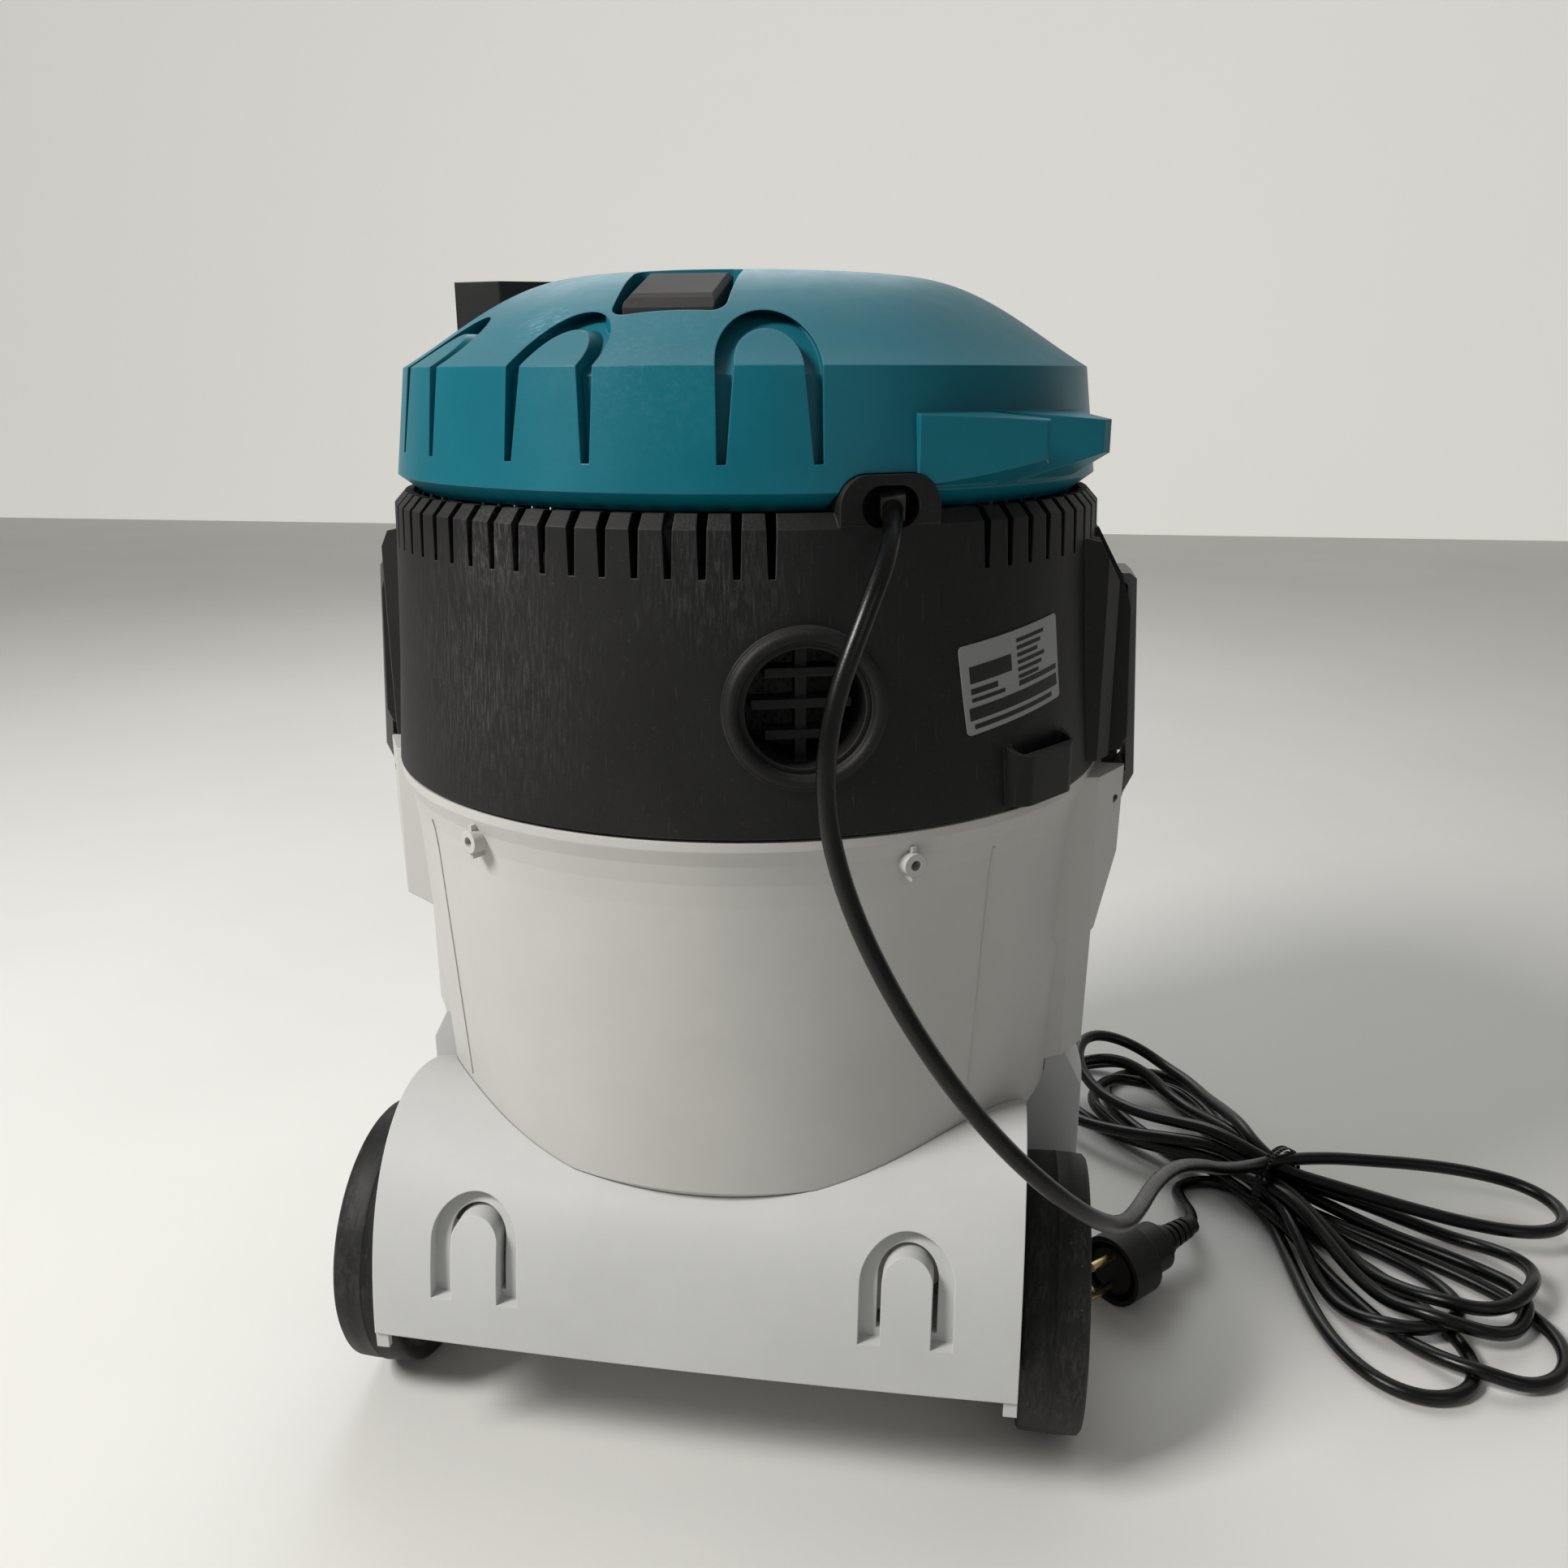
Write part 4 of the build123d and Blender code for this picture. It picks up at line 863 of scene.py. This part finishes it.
    def hank(self) -> list[Point]:
        """Every point of the tail and the hank, the plug's end first.

        Returns:
            The points, in metres.
        """
        tail = np.array(self.tail())
        lanes = self.lanes()
        parts = [self.plan_of(loop, index % 2 == 1, lanes[index], lanes[index + 1])
                 for index, loop in enumerate(self.loops())]
        plan = self.finely(np.vstack([tail[:, :2]] + parts))
        run = np.concatenate([[0.0], np.cumsum(np.linalg.norm(np.diff(plan, axis=0), axis=1))])
        between = np.abs(run[:, None] - run[None, :])
        heights = np.zeros(len(plan))
        laid = len(tail) * self.fine
        heights[:laid] = self.finely(np.vstack([tail, tail[-1:]]))[:laid, 2]
        for loop, part in zip(self.loops(), parts):
            stop = min(laid + len(part) * self.fine, len(plan))
            low = self.rested(plan, run, heights, laid, stop)
            draped = (low[None, :] - loop.sag * between[laid:stop, laid:stop]).max(axis=1)
            share = np.linspace(0.0, 1.0, stop - laid)
            draped += loop.rise * np.sin(math.pi * share) ** 4
            heights[laid:stop] = draped
            laid = stop
        smooth = np.exp(-(between / (self.settle * self.diameter)) ** 2)
        heights = smooth @ heights / smooth.sum(axis=1)
        held = self.fine * self.held_points
        heights[:held] = self.finely(tail)[:held, 2]
        over_tie = self.route()[-1][2]
        heights = np.maximum(heights, over_tie - self.droop * (run[-1] - run))
        return [(*spot, height) for spot, height in zip(plan[:-1:self.fine].tolist(),
                                                        heights[:-1:self.fine].tolist())]

    def build(self, finishes: Finishes) -> bpy.types.Object:
        """Args:
            finishes: The palette.

        Returns:
            The lead.
        """
        points = self.route() + list(reversed(self.hank()))
        curve = bpy.data.curves.new("mains_lead", "CURVE")
        curve.dimensions = "3D"
        curve.bevel_depth = self.diameter / 2
        curve.bevel_resolution = 5
        curve.resolution_u = 5
        curve.use_fill_caps = True
        spline = curve.splines.new("NURBS")
        spline.points.add(len(points) - 1)
        for knot, point in zip(spline.points, points):
            knot.co = (*point, 1.0)
        spline.order_u = 3
        spline.use_endpoint_u = True
        lead = bpy.data.objects.new("mains_lead", curve)
        bpy.context.scene.collection.objects.link(lead)
        finishes.coat(lead, "lead_rubber")
        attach(lead, "head")
        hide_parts("cord_tube", "cord_hank", "cord_tail")
        tie = LeadTie().build(finishes)
        return lead


@dataclass
class LeadTie:
    """Twist tie: two flat bands round the neck of the hank, its knot among the strands."""

    at: Point = (-0.3050, -0.0888, 0.0225)
    half_width: float = 21.0 * MM
    half_height: float = 21.8 * MM
    wire: float = 1.3 * MM
    pitch: float = 1.4 * MM
    knot: float = 3.0 * MM
    knot_at: Point = (0.0, -10 * MM, 13.5 * MM)
    turn: float = -43.4

    def build(self, finishes: Finishes) -> bpy.types.Object:
        """Make the tie.

        Args:
            finishes: The palette.

        Returns:
            The tie.
        """
        mesh = bmesh.new()
        for offset in (-self.pitch, self.pitch):
            section = []
            for step in range(8):
                turn = 2 * math.pi * step / 8
                section.append((offset + self.wire * math.cos(turn), 1.0,
                                self.wire * math.sin(turn)))
            Workshop.spun(mesh, section, (1, 0, 0), (0, 0, 0), 48)
        for vert in mesh.verts:
            arm = Vector((0, vert.co.y, vert.co.z))
            thick = arm.length - 1.0
            way = arm.normalized()
            vert.co.y = way.y * (self.half_width + thick)
            vert.co.z = way.z * (self.half_height + thick)
        bmesh.ops.create_uvsphere(mesh, u_segments=12, v_segments=8, radius=self.knot,
                                  matrix=Matrix.Translation(self.knot_at))
        turn = Matrix.Rotation(math.radians(self.turn), 4, "Z")
        bmesh.ops.transform(mesh, matrix=Matrix.Translation(self.at) @ turn, verts=mesh.verts)
        tie = Workshop.piece("lead_tie", mesh, smooth=80.0)
        finishes.coat(tie, "seal_rubber")
        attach(tie, "head")
        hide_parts("cord_tie")
        return tie


@dataclass
class Plug:
    """The mains plug and its pins."""

    def build(self, finishes: Finishes) -> None:
        """Dress the plug.

        Args:
            finishes: The palette.
        """
        finishes.dress("plug_plastic", "plug_body")
        finishes.dress("pin_brass", "plug_pins")


# ------------------------------------------------------------------ wheels
@dataclass
class RoadWheel:
    """One large rear wheel: detailed tyre, hub, cap and axle."""

    side: Side
    axle: Point = (0.0, 0.092, 0.065)
    inner: float = 148.5 * MM
    outer: float = 178.0 * MM
    seat: float = 48.0 * MM
    radius: float = 65.0 * MM
    steps: int = 120

    def profile(self) -> list[tuple[float, float]]:
        """Half section of the tyre.

        Returns:
            Points (distance along the axle, radius), inner face first.
        """
        middle = (self.inner + self.outer) / 2
        tread = self.radius - 0.4 * MM
        return [
            (self.inner, self.seat), (self.inner, 57 * MM), (self.inner + 0.6 * MM, 57.6 * MM),
            (self.inner, 58.2 * MM), (self.inner, 62.8 * MM),
            (self.inner + 1.2 * MM, 64.2 * MM), (middle - 6 * MM, tread),
            (middle - 0.7 * MM, tread), (middle, self.radius), (middle + 0.7 * MM, tread),
            (middle + 6 * MM, tread), (self.outer - 1.8 * MM, 64.2 * MM),
            (self.outer - 0.2 * MM, 62.4 * MM), (self.outer, 57.5 * MM),
            (self.outer - 0.9 * MM, 56.6 * MM), (self.outer - 0.9 * MM, 52 * MM),
            (self.outer, 51 * MM), (self.outer, self.seat),
        ]

    def build(self, finishes: Finishes) -> None:
        """Make the tyre and dress the rest.

        Args:
            finishes: The palette.
        """
        sign = self.side.value
        outline = [(sign * x, self.axle[1], self.axle[2] + radius)
                   for x, radius in self.profile()]
        mesh = bmesh.new()
        Workshop.spun(mesh, outline, (1, 0, 0), self.axle, self.steps)
        tyre = Workshop.piece(f"tyre_tread_{self.side.label}", mesh, smooth=50.0)
        finishes.coat(tyre, "tyre_rubber")
        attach(tyre, f"wheel_{self.side.label}")
        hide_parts(f"tyre_{self.side.label}")
        finishes.dress("hub_plastic", f"hub_{self.side.label}")
        finishes.dress("latch_plastic", f"wheel_cap_{self.side.label}")
        log.info("rear wheel %s: tyre, hub, cap", self.side.label)


@dataclass
class Caster:
    """One small front caster."""

    side: Side

    def build(self, finishes: Finishes) -> None:
        """Dress the caster.

        Args:
            finishes: The palette.
        """
        finishes.dress("zinc_steel", f"caster_fork_{self.side.label}",
                       f"caster_axle_{self.side.label}")
        finishes.dress("latch_plastic", f"caster_wheel_{self.side.label}")


# ------------------------------------------------------------------ rating plate
@dataclass
class RatingPlate:
    """Foil plate on the housing, printed with blank bars only."""

    angle: float = math.radians(51.0)
    height: float = 0.372
    tilt: float = math.radians(7.0)
    proud: float = 0.15 * MM
    foil: float = 0.5 * MM

    def bars(self) -> list[tuple[float, float, float, float]]:
        """Blank bars that stand for the printing.

        Returns:
            Each bar as (left, bottom, right, top) in millimetres from the plate's middle.
        """
        lines = [(-27, 2.5, -3, 9.5), (-27, -2.0, -12, 0.4), (-27, -5.2, -8, -3.6)]
        lines += [(1, 13.2 - 3.1 * row, 20 - 2.5 * (row % 3), 14.8 - 3.1 * row)
                  for row in range(6)]
        lines += [(1, -5.4, 29, -3.2), (-29, -12.6, 29, -7.4), (-27, -16.4, 24, -14.4)]
        return lines

    def build(self, finishes: Finishes) -> None:
        """Make the printing and dress the plate.

        Args:
            finishes: The palette.
        """
        mesh = bmesh.new()
        for left, bottom, right, top in self.bars():
            self.bar(mesh, left * MM, bottom * MM, right * MM, top * MM)
        ink = Workshop.piece("plate_printing", mesh)
        finishes.coat(ink, "plate_ink")
        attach(ink, "head")
        finishes.dress("plate_foil", "rating_plate")
        log.info("rating plate: %d blank bars", len(self.bars()))

    def bar(self, mesh: bmesh.types.BMesh, left: float, bottom: float, right: float,
            top: float) -> None:
        """Add one thin bar, wrapped on the housing wall.

        Args:
            mesh: The bmesh to add to.
            left: Left end on the plate.
            bottom: Lower edge.
            right: Right end.
            top: Upper edge.
        """
        grid = bmesh.ops.create_grid(mesh, x_segments=8, y_segments=1, size=0.5)["verts"]
        bmesh.ops.scale(mesh, vec=(right - left, top - bottom, 1.0), verts=grid)
        bmesh.ops.translate(mesh, vec=((left + right) / 2, (bottom + top) / 2, 0.0), verts=grid)
        for vert in grid:
            across = vert.co.x * math.cos(self.tilt) - vert.co.y * math.sin(self.tilt)
            rise = vert.co.x * math.sin(self.tilt) + vert.co.y * math.cos(self.tilt)
            z = self.height + rise
            radius = self.wall_radius(z) + self.foil + self.proud
            around = self.angle + across / radius
            vert.co = (-radius * math.sin(around), radius * math.cos(around), z)

    @staticmethod
    def wall_radius(z: float) -> float:
        """Radius of the housing wall at a height, which tapers more below the port's middle."""
        foot, port, top = (0.3155, 0.1744), (0.367, 0.1706), (0.405, 0.1687)
        (low_z, low_r), (high_z, high_r) = (foot, port) if z < port[0] else (port, top)
        return low_r + (z - low_z) / (high_z - low_z) * (high_r - low_r)


# ------------------------------------------------------------------ mouldings and mechanisms
@dataclass
class LowerBody:
    """Dust container, its rim seal and inlet, and the chassis it stands in."""

    def build(self, finishes: Finishes) -> None:
        """Dress the lower body.

        Args:
            finishes: The palette.
        """
        finishes.dress("container_plastic", "container")
        finishes.dress("chassis_plastic", "chassis")
        finishes.dress("seal_rubber", "rim_seal")
        finishes.dress("housing_plastic", "inlet_spigot", "inlet_deflector")
        finishes.dress("zinc_steel", "chassis_screws", "wheel_axles", "latch_pins")


@dataclass
class Head:
    """Motor housing, top cover and everything that is let into them."""

    def build(self, finishes: Finishes) -> None:
        """Dress the head.

        Args:
            finishes: The palette.
        """
        finishes.dress("housing_plastic", "motor_housing", "exhaust_grille", "socket_housing")
        finishes.dress("cover_plastic", "top_cover")
        finishes.dress("handle_plastic", "carry_handle", "clean_button", "switch_knob")
        finishes.dress("clamp_plastic", "cable_clamp")
        finishes.dress("seal_rubber", "cable_gland")
        finishes.dress("socket_plastic", "socket_insert", "socket_lid", "switch_body")
        finishes.dress("zinc_steel", "lid_pin", "cover_screws", "hood_screws", "clean_spring")
        finishes.dress("latch_plastic", "clean_plunger")


@dataclass
class Latch:
    """One side latch."""

    side: Side

    def build(self, finishes: Finishes) -> None:
        """Dress the latch.

        Args:
            finishes: The palette.
        """
        finishes.dress("latch_plastic", f"latch_lever_{self.side.label}")


@dataclass
class SuctionUnit:
    """Motor, fan, hood, board, filter and float inside the head."""

    def build(self, finishes: Finishes) -> None:
        """Dress the suction unit.

        Args:
            finishes: The palette.
        """
        finishes.dress("board_laminate", "control_board")
        finishes.dress("cast_aluminium", "fan_casing", "impeller", "motor_frame")
        finishes.dress("motor_iron", "motor_stator", "armature")
        finishes.dress("handle_plastic", "cooling_fan", "motor_hood", "filter_cage")
        finishes.dress("silencer_cells", "silencer_foam")
        finishes.dress("filter_fleece", "filter_cartridge")
        finishes.dress("latch_plastic", "filter_retainer")
        finishes.dress("clamp_plastic", "float_ball")


def main() -> None:
    """Build the studio and the machine."""
    logging.basicConfig(level=logging.INFO, format="%(message)s")
    finishes = Finishes()
    Studio().build()
    MainsLead().build(finishes)
    Plug().build(finishes)
    for side in Side:
        RoadWheel(side).build(finishes)
        Caster(side).build(finishes)
        Latch(side).build(finishes)
    LowerBody().build(finishes)
    Head().build(finishes)
    SuctionUnit().build(finishes)
    RatingPlate().build(finishes)
    bpy.context.view_layer.update()


if __name__ == "__main__":
    main()
